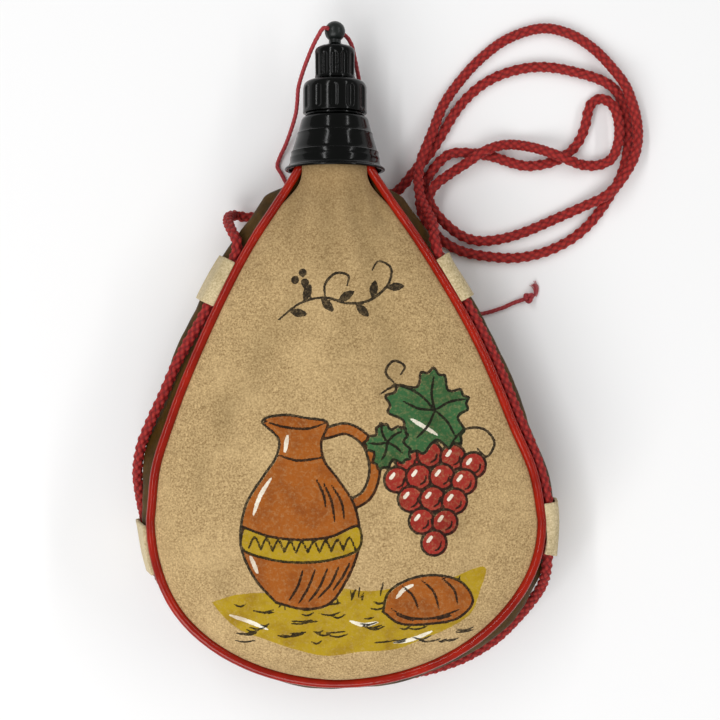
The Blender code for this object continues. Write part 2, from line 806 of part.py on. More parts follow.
def bladder_ring(y, inset):
    """One ring of the liner: round in the neck, as wide and deep as the belly below."""
    share = ease((y - LIP_Y + NECK_BLEND_LENGTH) / (BLADDER_NECK_Y - LIP_Y + NECK_BLEND_LENGTH))
    tube_radius = SPIGOT_RADIUS + CLEARANCE + BLADDER_WALL
    crown_share = (half_width(y) / SEAM_HALF_WIDTH) ** CROWN_WIDTH_POWER
    top = seam_height(y, True) + FRONT_CROWN * crown_share
    floor = max(seam_height(y, False) - BACK_CROWN * crown_share, 0.0)
    left = inside_seam(-1, y, True, BLADDER_INSET)
    right = inside_seam(1, y, True, BLADDER_INSET)
    centre = left.lerp(right, 0.5)
    centre.z = (top + floor) / 2
    wide = max((right - left).length / 2, tube_radius) - inset
    deep = max((top - floor) / 2 * BLADDER_DEPTH_SHARE, tube_radius) - inset
    ring = []
    for i in range(BLADDER_SEGMENTS):
        angle = math.tau * i / BLADDER_SEGMENTS
        wave = Vector((math.cos(angle), 0.0, math.sin(angle)))
        belly = centre + Vector((wide * wave.x, 0.0, deep * wave.z))
        neck = Vector((AXIS_X, y, AXIS_Z)) + wave * (tube_radius - inset)
        ring.append(belly.lerp(neck, share))
    return ring


def make_bladder(material):
    """The watertight liner: an outer and an inner skin, open at the neck."""
    belly = [y for y in row_heights() if y < BLADDER_NECK_Y]
    rows = [NECK_TOP_Y, BLADDER_NECK_Y] + belly[:-1:2] + belly[-1:]
    skins = []
    bm = bmesh.new()
    for inset in (0.0, BLADDER_WALL):
        skin = [[bm.verts.new(p) for p in bladder_ring(y, inset)] for y in rows]
        tip = bm.verts.new(inside_seam(0, bottom_y(), True, BLADDER_INSET + inset))
        tip.co.z = sum(v.co.z for v in skin[-1]) / BLADDER_SEGMENTS
        for i in range(BLADDER_SEGMENTS):
            j = (i + 1) % BLADDER_SEGMENTS
            for a, b in zip(skin, skin[1:]):
                bm.faces.new((a[i], a[j], b[j], b[i]))
            bm.faces.new((skin[-1][i], skin[-1][j], tip))
        skins.append(skin)
    outer, inner = skins[0][0], skins[1][0]
    for i in range(BLADDER_SEGMENTS):
        j = (i + 1) % BLADDER_SEGMENTS
        bm.faces.new((outer[i], outer[j], inner[j], inner[i]))
    return new_object("inner_bladder", bm, material)


# The mouthpiece


def make_insert(material):
    """The threaded tube that the bag's neck is bound on."""
    flange_low = COLLAR_TOP_Y + CLEARANCE
    flange_high = flange_low + FLANGE_THICKNESS
    thread_low = flange_high + FILLER_PITCH / 4
    loop = plain(
        (
            (BORE_RADIUS, INSERT_TOP_Y),
            (BORE_RADIUS, SPIGOT_FOOT_Y),
            (SPIGOT_RADIUS - EDGE, SPIGOT_FOOT_Y),
            (SPIGOT_RADIUS, SPIGOT_FOOT_Y + EDGE),
            (SPIGOT_RADIUS, flange_low),
            (FLANGE_RADIUS, flange_low),
            (FLANGE_RADIUS, flange_high),
            (SPIGOT_RADIUS, flange_high),
        )
    )
    loop += thread_rows(
        SPIGOT_RADIUS,
        thread_low,
        thread_low + FILLER_THREAD_LENGTH,
        FILLER_THREAD_DEPTH,
        FILLER_PITCH,
    )
    loop += plain(
        ((SPIGOT_RADIUS, INSERT_TOP_Y - EDGE / 2), (SPIGOT_RADIUS - EDGE / 2, INSERT_TOP_Y))
    )
    return new_object("neck_insert", turned(loop, COLLAR_SEGMENTS), material)


def make_binding(material):
    """Waxed cord wound tight round the leather neck, over the insert."""
    inner = NECK_TUBE_RADIUS + CLEARANCE
    top = NECK_TOP_Y - CLEARANCE
    points = [(inner, top), (inner, top - BINDING_TURNS * BINDING_WIRE)]
    for i in range(BINDING_TURNS):
        low = top - (BINDING_TURNS - i) * BINDING_WIRE
        points.append((inner + BINDING_WIRE / 2, low))
        points.append((inner + BINDING_WIRE, low + BINDING_WIRE / 2))
    points.append((inner + BINDING_WIRE / 2, top))
    return new_object("neck_binding", turned(plain(points), COLLAR_SEGMENTS), material)


def make_collar(material):
    """The stepped cone that covers the bound neck and the ends of the seams."""
    ceiling = NECK_TOP_Y + CLEARANCE
    lip_top = LIP_Y + COLLAR_LIP_HEIGHT
    points = (
        (SPIGOT_RADIUS + CLEARANCE, COLLAR_TOP_Y),
        (SPIGOT_RADIUS + CLEARANCE, ceiling),
        (BINDING_ROOM_RADIUS, ceiling),
        (BINDING_ROOM_RADIUS, mix(COLLAR_LOW_STEP_Y, COLLAR_HIGH_STEP_Y, COLLAR_BORE_SHARE)),
        (COLLAR_FOOT_RADIUS - COLLAR_WALL, lip_top + EDGE),
        (LIP_ROOM_RADIUS, LIP_Y + PIPING_TUCK + CLEARANCE),
        (LIP_ROOM_RADIUS, LIP_Y),
        (COLLAR_LIP_RADIUS, LIP_Y),
        (COLLAR_LIP_RADIUS, mix(LIP_Y, lip_top, COLLAR_LIP_SHARE)),
        (COLLAR_FOOT_RADIUS, lip_top),
        (COLLAR_LOW_STEP_RADIUS, COLLAR_LOW_STEP_Y),
        (COLLAR_LOW_STEP_RADIUS - COLLAR_STEP, COLLAR_LOW_STEP_Y + COLLAR_STEP / 2),
        (COLLAR_HIGH_STEP_RADIUS, COLLAR_HIGH_STEP_Y),
        (COLLAR_HIGH_STEP_RADIUS - COLLAR_STEP, COLLAR_HIGH_STEP_Y + COLLAR_STEP / 2),
        (COLLAR_TOP_RADIUS, COLLAR_TOP_Y - EDGE),
        (COLLAR_TOP_RADIUS - EDGE, COLLAR_TOP_Y),
    )
    return new_object("neck_collar", turned(plain(points), COLLAR_SEGMENTS), material)


def filler_foot_y():
    return COLLAR_TOP_Y + CLEARANCE * 2 + FLANGE_THICKNESS


def filler_ceiling_y():
    return INSERT_TOP_Y + CLEARANCE * 2 + FILLER_SEAL_THICKNESS


def filler_top_y():
    return filler_foot_y() + FILLER_SKIRT + FILLER_DOME


def spout_top_y():
    return filler_top_y() + SPOUT_HEIGHT


def make_filler_cap(material):
    """The ring that closes the neck, with the drinking spout on top in one moulding."""
    foot, ceiling, top = filler_foot_y(), filler_ceiling_y(), filler_top_y()
    shoulder = foot + FILLER_SKIRT
    dome = [
        (FILLER_RADIUS - FILLER_DOME * inwards, shoulder + FILLER_DOME * upwards)
        for inwards, upwards in FILLER_DOME_SHARES
    ]
    female = SPIGOT_RADIUS + THREAD_CLEARANCE
    entry = female + FILLER_THREAD_DEPTH
    thread_low = foot - CLEARANCE + FILLER_PITCH / 4
    thread_high = thread_low + FILLER_THREAD_LENGTH
    spout_thread = top + CLEARANCE + STOPPER_PITCH / 4
    loop = plain(((SPOUT_BORE_RADIUS, spout_top_y()), (SPOUT_BORE_RADIUS, ceiling)))
    loop += plain(((entry, ceiling), (entry, thread_high + EDGE / 2)))
    loop += thread_rows(female, thread_high, thread_low, FILLER_THREAD_DEPTH, FILLER_PITCH)
    loop += plain(((entry, foot), (FILLER_RADIUS - EDGE / 2, foot)))
    loop += plain(((FILLER_RADIUS, foot + EDGE / 2),))
    loop += plain(
        (
            (FILLER_RADIUS, foot + EDGE),
            (FILLER_RADIUS, shoulder),
            dome[0],
        ),
        FILLER_FLUTE_DEPTH,
    )
    loop += plain((dome[1], dome[2], (SPOUT_RADIUS, top)))
    loop += thread_rows(
        SPOUT_RADIUS,
        spout_thread,
        spout_thread + STOPPER_THREAD_LENGTH,
        STOPPER_THREAD_DEPTH,
        STOPPER_PITCH,
    )
    loop += plain(
        ((SPOUT_RADIUS, spout_top_y() - EDGE / 2), (SPOUT_RADIUS - EDGE / 2, spout_top_y()))
    )
    bm = turned(loop, TURNED_SEGMENTS, FILLER_FLUTES)
    return new_object("filler_cap", bm, material, AXIS + Vector((0.0, foot, 0.0)))


def stopper_foot_y():
    return filler_top_y() + CLEARANCE


def ball_centre_y():
    dome_top = stopper_foot_y() + STOPPER_SKIRT + STOPPER_DOME
    return dome_top + STALK_LENGTH + math.sqrt(BALL_RADIUS ** 2 - STALK_RADIUS ** 2)


def make_stopper(material):
    """The fluted cap that screws on the spout, with a ball that the string goes through."""
    foot = stopper_foot_y()
    shoulder = foot + STOPPER_SKIRT
    dome = shoulder + STOPPER_DOME
    female = SPOUT_RADIUS + THREAD_CLEARANCE
    entry = female + STOPPER_THREAD_DEPTH
    ceiling = spout_top_y() + CLEARANCE * 2 + STOPPER_SEAL_THICKNESS
    thread_low = foot + STOPPER_PITCH / 4
    thread_high = thread_low + STOPPER_THREAD_LENGTH
    ball_y = ball_centre_y()
    loop = plain(((0.0, ceiling), (entry, ceiling), (entry, thread_high + EDGE / 2)))
    loop += thread_rows(female, thread_high, thread_low, STOPPER_THREAD_DEPTH, STOPPER_PITCH)
    loop += plain(((entry, foot), (STOPPER_RADIUS, foot), (STOPPER_RADIUS, foot + STOPPER_RIM)))
    loop += plain(
        (
            (STOPPER_RADIUS, foot + STOPPER_RIM + STOPPER_FLUTE_DEPTH),
            (STOPPER_RADIUS, shoulder - STOPPER_DOME),
        ),
        STOPPER_FLUTE_DEPTH,
    )
    for inwards, upwards in STOPPER_DOME_SHARES:
        radius = STOPPER_RADIUS - STOPPER_DOME * inwards
        loop += plain(((radius, shoulder + STOPPER_DOME * upwards),))
    loop += plain(
        (
            (STALK_RADIUS, dome + STALK_LENGTH * STALK_FILLET_SHARE),
            (STALK_RADIUS, dome + STALK_LENGTH),
        )
    )
    start = math.asin(STALK_RADIUS / BALL_RADIUS)
    for i in range(1, BALL_ROWS + 1):
        turn = mix(start, math.pi, i / BALL_ROWS)
        radius = BALL_RADIUS * math.sin(turn) if i < BALL_ROWS else 0.0
        loop += plain(((radius, ball_y - BALL_RADIUS * math.cos(turn)),))
    bm = turned(loop, TURNED_SEGMENTS, STOPPER_FLUTES)
    obj = new_object("stopper_cap", bm, material, AXIS + Vector((0.0, foot, 0.0)))
    cutter = make_string_cutter(ball_y)
    cut = obj.modifiers.new("string_hole", "BOOLEAN")
    cut.operation = "DIFFERENCE"
    cut.object = cutter
    return obj


def make_string_cutter(ball_y):
    bm = bmesh.new()
    bmesh.ops.create_cone(
        bm,
        cap_ends=True,
        segments=STRING_HOLE_SIDES,
        radius1=STRING_HOLE_RADIUS,
        radius2=STRING_HOLE_RADIUS,
        depth=BALL_RADIUS * 3,
    )
    turn = STRING_HOLE_DIRECTION.to_track_quat("Z", "Y").to_matrix()
    bmesh.ops.rotate(bm, verts=bm.verts[:], cent=Vector(), matrix=turn)
    mesh = bpy.data.meshes.new("string_hole_cutter")
    bm.to_mesh(mesh)
    bm.free()
    cutter = bpy.data.objects.new("string_hole_cutter", mesh)
    cutter.location = AXIS + Vector((0.0, ball_y, 0.0))
    cutter.hide_render = True
    cutter.display_type = "WIRE"
    bpy.context.scene.collection.objects.link(cutter)
    return cutter


def make_seal(name, outer, bore, low, thickness, material):
    """A soft washer, or a plain disc where the bore is zero."""
    points = ((bore, low), (outer, low), (outer, low + thickness), (bore, low + thickness))
    bm = turned(plain(points), COLLAR_SEGMENTS)
    return new_object(name, bm, material)


# Loops and cords


def cross(a, b, c):
    return (b[0] - a[0]) * (c[1] - b[1]) - (b[1] - a[1]) * (c[0] - b[0])


def tight_wrap(points):
    """The outer side of a strap pulled tight over (out, up) points, from the top down."""
    chain = []
    for point in sorted(points, key=lambda p: -p[1]):
        while len(chain) > 1 and cross(chain[-2], chain[-1], point) >= 0:
            chain.pop()
        chain.append(point)
    return chain


def spread_evenly(chain, count):
    """The same line drawn with count + 1 points at even distances."""
    places = [Vector(p) for p in chain]
    run = [0.0]
    for a, b in zip(places, places[1:]):
        run.append(run[-1] + (b - a).length)
    even, k = [], 0
    for i in range(count + 1):
        goal = run[-1] * i / count
        while k < len(run) - 2 and run[k + 1] < goal:
            k += 1
        even.append(places[k].lerp(places[k + 1], (goal - run[k]) / (run[k + 1] - run[k])))
    return even


def strap_section(side, y, cord_route):
    """The outer line of a loop at one place, as (out, up) from the front seam."""
    seam, normal = seam_point(side, y, True), outline_normal(side, y)
    cover = CLEARANCE + LOOP_THICKNESS
    along_seam = normal.cross(Vector((0.0, 0.0, 1.0)))
    nearby = sorted(cord_route, key=lambda p: (p - seam).length)[:LOOP_SEARCH]
    cord = min(nearby, key=lambda p: abs((p - seam).dot(along_seam)))
    out, up = (cord - seam).dot(normal), (cord - seam).z

    back = seam_point(side, y, False)
    back_out, back_up = (back - seam).dot(normal), (back - seam).z
    beside_piping = PIPING_RADIUS + cover
    reach = CORD_DIAMETER / 2 + cover + CLEARANCE
    over_piping = up + reach > 0
    start = (beside_piping - LOOP_THICKNESS * over_piping, max(0.0, up + reach))
    end = (back_out + beside_piping, back_up)
    points = [start, end]
    for i in range(LOOP_PROBES):
        angle = math.tau * i / LOOP_PROBES
        points.append((out + reach * math.cos(angle), up + reach * math.sin(angle)))
    for i in range(1, LOOP_PROBES):
        skin = gusset_point(side, y, i / LOOP_PROBES)
        before = gusset_point(side, y, (i - 0.5) / LOOP_PROBES)
        along_skin = skin - before
        lean = Vector((along_skin.dot(normal), along_skin.z)).normalized()
        flat = Vector(((skin - seam).dot(normal), (skin - seam).z))
        away = Vector((-lean.y, lean.x)) * (cover + CLEARANCE / 2)
        points.append(tuple(flat + away))
    points = [p for p in points if p[0] >= start[0] and end[1] <= p[1] <= start[1]]
    return tight_wrap(points), seam, normal


def make_loop(name, side, share, cord_route, material):
    """A suede strap sewn into both seams, with the cord under it."""
    middle = mix(bottom_y(), LIP_Y, share)
    steep = abs(outline_normal(side, middle).x)
    rows = []
    for i in range(LOOP_ROWS + 1):
        y = middle + LOOP_LENGTH * (0.5 - i / LOOP_ROWS) * steep
        chain, seam, normal = strap_section(side, y, cord_route)
        up = Vector((0.0, 0.0, 1.0))
        rows.append([seam + normal * p.x + up * p.y for p in spread_evenly(chain, LOOP_COLUMNS)])
    bm = sheet(rows)
    thicken(bm, LOOP_THICKNESS, Vector((AXIS_X, WIDEST_Y, AXIS_Z)))
    return new_object(name, bm, material)


def closest_approach(route, diameter):
    """The least gap between stretches of one route that aren't neighbours along it."""
    step = (route[1] - route[0]).length
    skip = math.ceil(diameter * 2.5 / step) + 1
    least = diameter * 3
    for i, a in enumerate(route):
        for b in route[i + skip:]:
            least = min(least, (a - b).length)
    return least - diameter


def make_cord(name, points, diameter, spacing, material, sides_level):
    """A cord through its route's points, with its length and least gap printed."""
    fine, length = smooth_route(points, diameter / 4)
    gap = closest_approach(fine, diameter)
    print(f"{name}: {length * 1000:.0f} mm long, least gap to itself {gap * 1000:.2f} mm")
    route = smooth_route(points, diameter * spacing)[0]
    return tube(name, route, diameter / 2, material, sides_level)


def hitch_route():
    """Turns of the string round the strap, from under it and back to under it."""
    along_strap = Vector(HITCH_DIRECTION).normalized()
    down = Vector((0.0, 0.0, -1.0))
    across = along_strap.cross(down)
    radius = CORD_DIAMETER / 2 + CLEARANCE + STRING_DIAMETER / 2
    count = HITCH_TURNS * HITCH_POINTS
    points = []
    for i in range(count + 1):
        turn = math.tau * i / HITCH_POINTS
        shift = HITCH_PITCH * (i / HITCH_POINTS - HITCH_TURNS / 2)
        spoke = down * math.cos(turn) + across * math.sin(turn)
        points.append(Vector(HITCH_PLACE) + spoke * radius + along_strap * shift)
    return points


def make_knot(material):
    """The overhand knot near the string's end, as a tight ball."""
    bm = bmesh.new()
    bmesh.ops.create_icosphere(bm, subdivisions=2, radius=KNOT_RADIUS)
    bmesh.ops.translate(bm, verts=bm.verts[:], vec=Vector(KNOT_PLACE))
    return new_object("tether_knot", bm, material)


def build():
    for obj in list(bpy.data.objects):
        bpy.data.objects.remove(obj, do_unlink=True)
    suede = new_material("tan_suede", (0.55, 0.38, 0.19), 0.95)
    dark = new_material("dark_leather", (0.08, 0.042, 0.012), 0.6)
    vinyl = new_material("red_vinyl", (0.40, 0.012, 0.004), 0.25)
    cotton = new_material("red_cord", (0.45, 0.015, 0.02), 0.85)
    string = new_material("red_string", (0.36, 0.03, 0.035), 0.85)
    plastic = new_material("black_plastic", (0.004, 0.005, 0.004), 0.2)
    latex = new_material("liner_latex", (0.55, 0.42, 0.25), 0.5)
    rubber = new_material("seal_rubber", (0.35, 0.30, 0.25), 0.7)
    waxed = new_material("waxed_binding", (0.45, 0.38, 0.25), 0.8)
    strap = new_material("loop_suede", (0.62, 0.48, 0.27), 0.95)

    make_panel("front_panel", True, suede)
    make_panel("back_panel", False, suede)
    make_gusset(dark)
    make_piping("front_piping", True, vinyl)
    make_piping("back_piping", False, vinyl)
    make_bladder(latex)
    make_insert(plastic)
    make_binding(waxed)
    make_collar(plastic)
    make_filler_cap(plastic)
    make_stopper(plastic)
    make_seal(
        "filler_seal",
        SPIGOT_RADIUS - EDGE / 2,
        BORE_RADIUS - EDGE,
        INSERT_TOP_Y + CLEARANCE,
        FILLER_SEAL_THICKNESS,
        rubber,
    )
    make_seal(
        "stopper_seal",
        SPOUT_RADIUS - EDGE / 2,
        0.0,
        spout_top_y() + CLEARANCE,
        STOPPER_SEAL_THICKNESS,
        rubber,
    )

    make_cord("edge_cord", EDGE_CORD_ROUTE, CORD_DIAMETER, EDGE_CORD_STEP, cotton, 2)
    make_cord("shoulder_strap", STRAP_ROUTE, CORD_DIAMETER, STRAP_STEP, cotton, 1)
    under_loops = smooth_route(EDGE_CORD_ROUTE + STRAP_ROUTE[:3], CORD_DIAMETER / 4)[0]
    under_left = [Vector(p) for p in STRAP_ROUTE[-3:]]
    for name, side, share in (
        ("upper_left_loop", -1, UPPER_LEFT_LOOP_SHARE),
        ("upper_right_loop", 1, UPPER_RIGHT_LOOP_SHARE),
        ("lower_left_loop", -1, LOWER_LEFT_LOOP_SHARE),
        ("lower_right_loop", 1, LOWER_RIGHT_LOOP_SHARE),
    ):
        make_loop(name, side, share, under_left + under_loops, strap)

    make_cord("cap_tether", TETHER_ROUTE, STRING_DIAMETER, STRING_STEP, string, 1)
    make_cord("tether_tail", TAIL_ROUTE, STRING_DIAMETER, STRING_STEP * 2, string, 1)
    make_cord("tether_end", FRAY_ROUTE, STRING_DIAMETER, STRING_STEP / 2, string, 1)
    tube("tether_hitch", hitch_route(), STRING_DIAMETER / 2, string, 1)
    make_knot(string)


build()
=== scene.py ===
# %% [markdown]
# # A leather drinking skin with a screw mouthpiece
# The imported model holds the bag's solids in their true sizes. This lesson dresses them: napped
# suede, gloss piping, braided cord, moulded black plastic and a small hand-drawn print.
# Every piece is made in metres in the model's own frame, so that it lands where its solid is.

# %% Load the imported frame
import math

import bmesh
import bpy
import numpy as np
from mathutils import Matrix, Vector
from mathutils.kdtree import KDTree


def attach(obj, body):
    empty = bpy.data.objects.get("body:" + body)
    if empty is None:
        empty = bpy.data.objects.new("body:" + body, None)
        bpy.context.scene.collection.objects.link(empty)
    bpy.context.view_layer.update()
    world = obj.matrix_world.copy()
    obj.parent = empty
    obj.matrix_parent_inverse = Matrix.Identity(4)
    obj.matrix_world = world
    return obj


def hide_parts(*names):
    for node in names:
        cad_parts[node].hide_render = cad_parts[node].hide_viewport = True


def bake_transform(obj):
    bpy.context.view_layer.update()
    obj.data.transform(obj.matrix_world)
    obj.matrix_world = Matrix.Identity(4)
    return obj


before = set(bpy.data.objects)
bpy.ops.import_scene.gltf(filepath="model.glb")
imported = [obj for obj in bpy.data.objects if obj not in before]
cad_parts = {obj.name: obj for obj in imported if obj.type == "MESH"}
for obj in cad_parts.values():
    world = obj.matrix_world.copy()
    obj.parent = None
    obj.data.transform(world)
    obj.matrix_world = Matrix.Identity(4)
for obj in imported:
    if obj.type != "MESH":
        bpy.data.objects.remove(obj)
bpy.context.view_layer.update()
MM = 0.001

# %% [markdown]
# ## Camera
# The photograph looks straight down on the bag from a little over half a metre. A long lens
# and a place above the middle of the picture give the same small amount of perspective.

# %% Camera
CAMERA_PLACE = (0.0047, -0.0017, 0.560)
CAMERA_LENS = 70.65

camera_data = bpy.data.cameras.new("copy_stand_camera")
camera_data.lens = CAMERA_LENS
camera_data.sensor_width = 36.0
camera = bpy.data.objects.new("copy_stand_camera", camera_data)
camera.location = CAMERA_PLACE
bpy.context.scene.collection.objects.link(camera)
bpy.context.scene.camera = camera
bpy.context.scene.view_settings.view_transform = "Standard"
print("camera:", camera_data.lens, "mm, straight down from", CAMERA_PLACE)

# %% [markdown]
# ## Helpers for colour and nodes
# Colours are written as sRGB hex, the way a paint chart gives them, and turned to the linear
# values that the renderer works with. One function adds a node with its settings and links.

# %% Colour and node helpers
def linear(hex_code):
    """An sRGB hex colour as linear red, green, blue and alpha."""
    values = [int(hex_code[i:i + 2], 16) / 255 for i in (0, 2, 4)]
    return [v / 12.92 if v <= 0.04045 else ((v + 0.055) / 1.055) ** 2.4 for v in values] + [1.0]


def add_node(tree, kind, inputs=None, **settings):
    """A node with its settings, and each input either set to a value or linked."""
    node = tree.nodes.new(kind)
    for key, value in settings.items():
        setattr(node, key, value)
    for socket, value in (inputs or {}).items():
        if isinstance(value, bpy.types.NodeSocket):
            tree.links.new(value, node.inputs[socket])
        else:
            node.inputs[socket].default_value = value
    return node


def new_material(name, **sockets):
    """A material with one Principled shader, whose sockets are set by name."""
    material = bpy.data.materials.new(name)
    material.use_nodes = True
    shader = material.node_tree.nodes["Principled BSDF"]
    for key, value in sockets.items():
        shader.inputs[key.replace("_", " ")].default_value = value
    return material, material.node_tree, shader


def object_place(tree):
    return add_node(tree, "ShaderNodeTexCoord").outputs["Object"]


def stored(tree, name):
    """A number that is stored at the mesh's points."""
    return add_node(tree, "ShaderNodeAttribute", attribute_name=name).outputs["Fac"]


def math_value(tree, operation, *values):
    node = add_node(tree, "ShaderNodeMath", dict(enumerate(values)), operation=operation)
    return node.outputs["Value"]


def mix_colours(tree, factor, a, b, blend="MIX"):
    """Colour b over colour a by a factor."""
    sockets = {0: factor, 6: a, 7: b}
    return add_node(tree, "ShaderNodeMix", sockets, data_type="RGBA", blend_type=blend).outputs[2]


def spread(tree, value, low, high, to_low=0.0, to_high=1.0):
    """A value's range from low to high, stretched to another range."""
    settings = {"Value": value, "From Min": low, "From Max": high}
    settings.update({"To Min": to_low, "To Max": to_high})
    return add_node(tree, "ShaderNodeMapRange", settings).outputs["Result"]


def grain_noise(tree, place, size, detail=2.0, roughness=0.5):
    """Noise whose blotches are about the given size in metres."""
    sockets = {"Vector": place, "Scale": 1 / size, "Detail": detail, "Roughness": roughness}
    return add_node(tree, "ShaderNodeTexNoise", sockets).outputs["Fac"]


def bump(tree, shader, height, depth, strength=1.0):
    """Small relief of the given depth in metres."""
    sockets = {"Height": height, "Distance": depth, "Strength": strength}
    node = add_node(tree, "ShaderNodeBump", sockets)
    tree.links.new(node.outputs["Normal"], shader.inputs["Normal"])


print("helpers ready; suede tan as linear", [round(c, 3) for c in linear("C4A678")])

# %% [markdown]
# ## Helpers for pieces
# Every new mesh is worked in a bmesh and turned into an object at the origin. Most are then
# parented to the body they ride on, and the solid they stand for is hidden.

# %% Piece helpers
def mesh_object(bm, name, material, smooth=True):
    """An object at the origin from a bmesh, which is freed."""
    mesh = bpy.data.meshes.new(name)
    bm.to_mesh(mesh)
    bm.free()
    mesh.materials.append(material)
    if smooth:
        mesh.shade_smooth()
    obj = bpy.data.objects.new(name, mesh)
    bpy.context.scene.collection.objects.link(obj)
    return obj


def dress(obj, body, node):
    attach(obj, body)
    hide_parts(node)


def unit_grid(columns, rows):
    """A flat grid as a bmesh, with each corner's share across and the number of its row."""
    bm = bmesh.new()
    bmesh.ops.create_grid(bm, x_segments=columns, y_segments=rows, size=1.0)
    bm.verts.index_update()
    share = (np.array([v.co for v in bm.verts]) + 1) / 2
    return bm, share[:, 0], np.rint(share[:, 1] * rows).astype(int)


def move_corners(bm, places):
    for vert, place in zip(bm.verts, places):
        vert.co = place


print("every piece stays at the origin")

# %% [markdown]
# ## Table and light
# The bag lies on plain white paper under soft light. Two long soft lamps, one on each side,
# draw the bright streaks along the gloss piping and the plastic mouthpiece, and a wide one
# fills the rest. The paper is nearly white, so that it keeps the faint shadows.

# %% Table and light
FLOOR_SIZE = 3.0
FLOOR_DROP = 0.00005
WORLD_LIGHT = 0.35

bm = bmesh.new()
bmesh.ops.create_grid(bm, x_segments=1, y_segments=1, size=FLOOR_SIZE)
bmesh.ops.translate(bm, verts=bm.verts[:], vec=(0.0, 0.0, -FLOOR_DROP))
paper = new_material(
    "uncoated_white_paper", Base_Color=linear("F6F6F6"), Roughness=0.9, Specular_IOR_Level=0.2
)[0]
mesh_object(bm, "white_paper_table", paper, smooth=False)

world = bpy.data.worlds.new("white_room")
world.use_nodes = True
background = world.node_tree.nodes["Background"].inputs
background["Color"].default_value = (1.0, 1.0, 1.0, 1.0)
background["Strength"].default_value = WORLD_LIGHT
bpy.context.scene.world = world


def soft_lamp(name, place, size, watts):
    """A soft box that looks at the bag, its second side lengthwise with the bag."""
    light = bpy.data.lights.new(name, "AREA")
    light.shape = "RECTANGLE"
    light.size, light.size_y = size
    light.energy = watts
    lamp = bpy.data.objects.new(name, light)
    lamp.location = place
    away = Vector(place).normalized()
    lengthwise = (Vector((0.0, 1.0, 0.0)) - away * away.y).normalized()
    axes = Matrix((lengthwise.cross(away), lengthwise, away)).transposed()
    lamp.rotation_euler = axes.to_euler()
    bpy.context.scene.collection.objects.link(lamp)


soft_lamp("left_strip", (-0.55, 0.35, 1.15), (0.09, 1.5), 5.5)
soft_lamp("right_strip", (1.00, 0.35, 0.95), (0.09, 1.5), 4.0)
soft_lamp("overhead_fill", (-0.55, -1.0, 1.2), (1.4, 0.8), 16.5)
print("table and", len(bpy.data.lights), "lamps")

# %% [markdown]
# ## How a cord is built
# A cord is a fixed length of something limp, so its middle line comes first: a smooth curve
# through the listed places on the bag and on the table. A flat grid is then
# wrapped round that line. Grid lines run round and along the cord, which leaves its mesh even
# and gives it a map for the yarn pattern. The lay of the strands is real relief in the mesh.

# %% Routes of the cords, in tenths of a millimetre
CORD_DIAMETER = 0.0042
STRING_DIAMETER = 0.0016
CORD_RESTING, STRING_RESTING = 22, 9


def in_metres(route, resting):
    """Places in metres. One that has no height lies on the table, its middle at resting."""
    return [tuple(value / 10000 for value in (place + (resting,))[:3]) for place in route]


EDGE_CORD_ROUTE = in_metres((
    (-466, 278, 354), (-493, 231, 352), (-543, 133, 345), (-594, 48, 335), (-640, -36, 326),
    (-689, -148, 317), (-737, -245, 297), (-777, -337, 268), (-800, -437, 220), (-800, -514, 180),
    (-792, -585, 150), (-776, -665, 136), (-762, -752, 133), (-735, -845, 126), (-690, -925, 104),
    (-627, -1002, 68), (-545, -1078, 40), (-450, -1142, 26), (-340, -1197), (-228, -1236),
    (-110, -1262), (8, -1272), (126, -1268), (244, -1255), (348, -1232, 23), (468, -1186, 30),
    (584, -1108, 52), (667, -1012, 100), (709, -948, 145), (740, -880, 206), (748, -808, 282),
    (748, -720, 330), (750, -599, 353), (731, -475, 355), (690, -349, 357), (637, -230, 359),
    (589, -110, 360), (537, 11, 361), (476, 133, 360), (407, 254, 358), (380, 298, 357),
), CORD_RESTING)
STRAP_ROUTE = in_metres((
    (378, 301, 357), (356, 341, 356), (336, 385, 352), (325, 431, 332), (323, 489, 280),
    (305, 547, 210), (282, 601, 160), (275, 650, 122), (275, 700, 93), (284, 758, 75),
    (304, 812, 67), (332, 880, 56), (376, 987, 38), (441, 1083, 23), (525, 1174), (631, 1251),
    (768, 1292), (875, 1270), (967, 1212, 25), (1040, 1130, 44), (1086, 1060, 63), (1116, 984, 65),
    (1133, 915, 62), (1136, 847, 62), (1121, 778, 66), (1088, 716, 70), (1050, 664, 72),
    (1003, 622, 67), (928, 588, 38), (814, 538, 23), (700, 489), (601, 460), (510, 453, 28),
    (443, 473, 46), (384, 516, 59), (338, 568, 63), (317, 618, 66), (340, 665, 62), (397, 713, 36),
    (464, 755, 56), (529, 798, 70), (593, 824, 50), (654, 832, 28), (738, 815, 48), (812, 787, 70),
    (867, 766, 64), (928, 752, 26), (990, 752, 26), (1036, 775, 42), (1058, 828, 56),
    (1063, 895, 60), (1050, 962, 56), (1031, 995, 40), (1000, 1014, 24), (964, 999), (947, 962),
    (938, 915), (918, 860), (888, 816), (848, 784), (806, 765), (753, 752), (700, 749), (639, 763),
    (583, 782), (525, 794), (456, 801), (402, 796), (360, 764), (325, 719), (298, 670), (284, 614),
    (293, 560), (316, 514), (354, 470), (402, 434), (465, 407), (586, 388), (662, 386), (738, 398),
    (814, 424), (890, 466), (951, 519), (997, 576), (1035, 634), (1066, 687), (1088, 740),
    (1101, 801), (1106, 877), (1100, 938), (1083, 999), (1055, 1048), (1018, 1078), (960, 1102),
    (890, 1121), (814, 1136), (738, 1139), (662, 1127), (586, 1101), (525, 1066), (464, 1012),
    (420, 956), (385, 898), (352, 842), (318, 792), (282, 752), (252, 717), (222, 678), (182, 642),
    (106, 619), (6, 612, 25), (-94, 602, 33), (-194, 586, 41), (-294, 562, 38), (-390, 545, 30),
    (-442, 550, 55), (-460, 538, 120), (-456, 508, 200), (-435, 468, 280), (-412, 422, 333),
    (-416, 374, 350), (-438, 328, 354), (-464, 281, 354),
), CORD_RESTING)
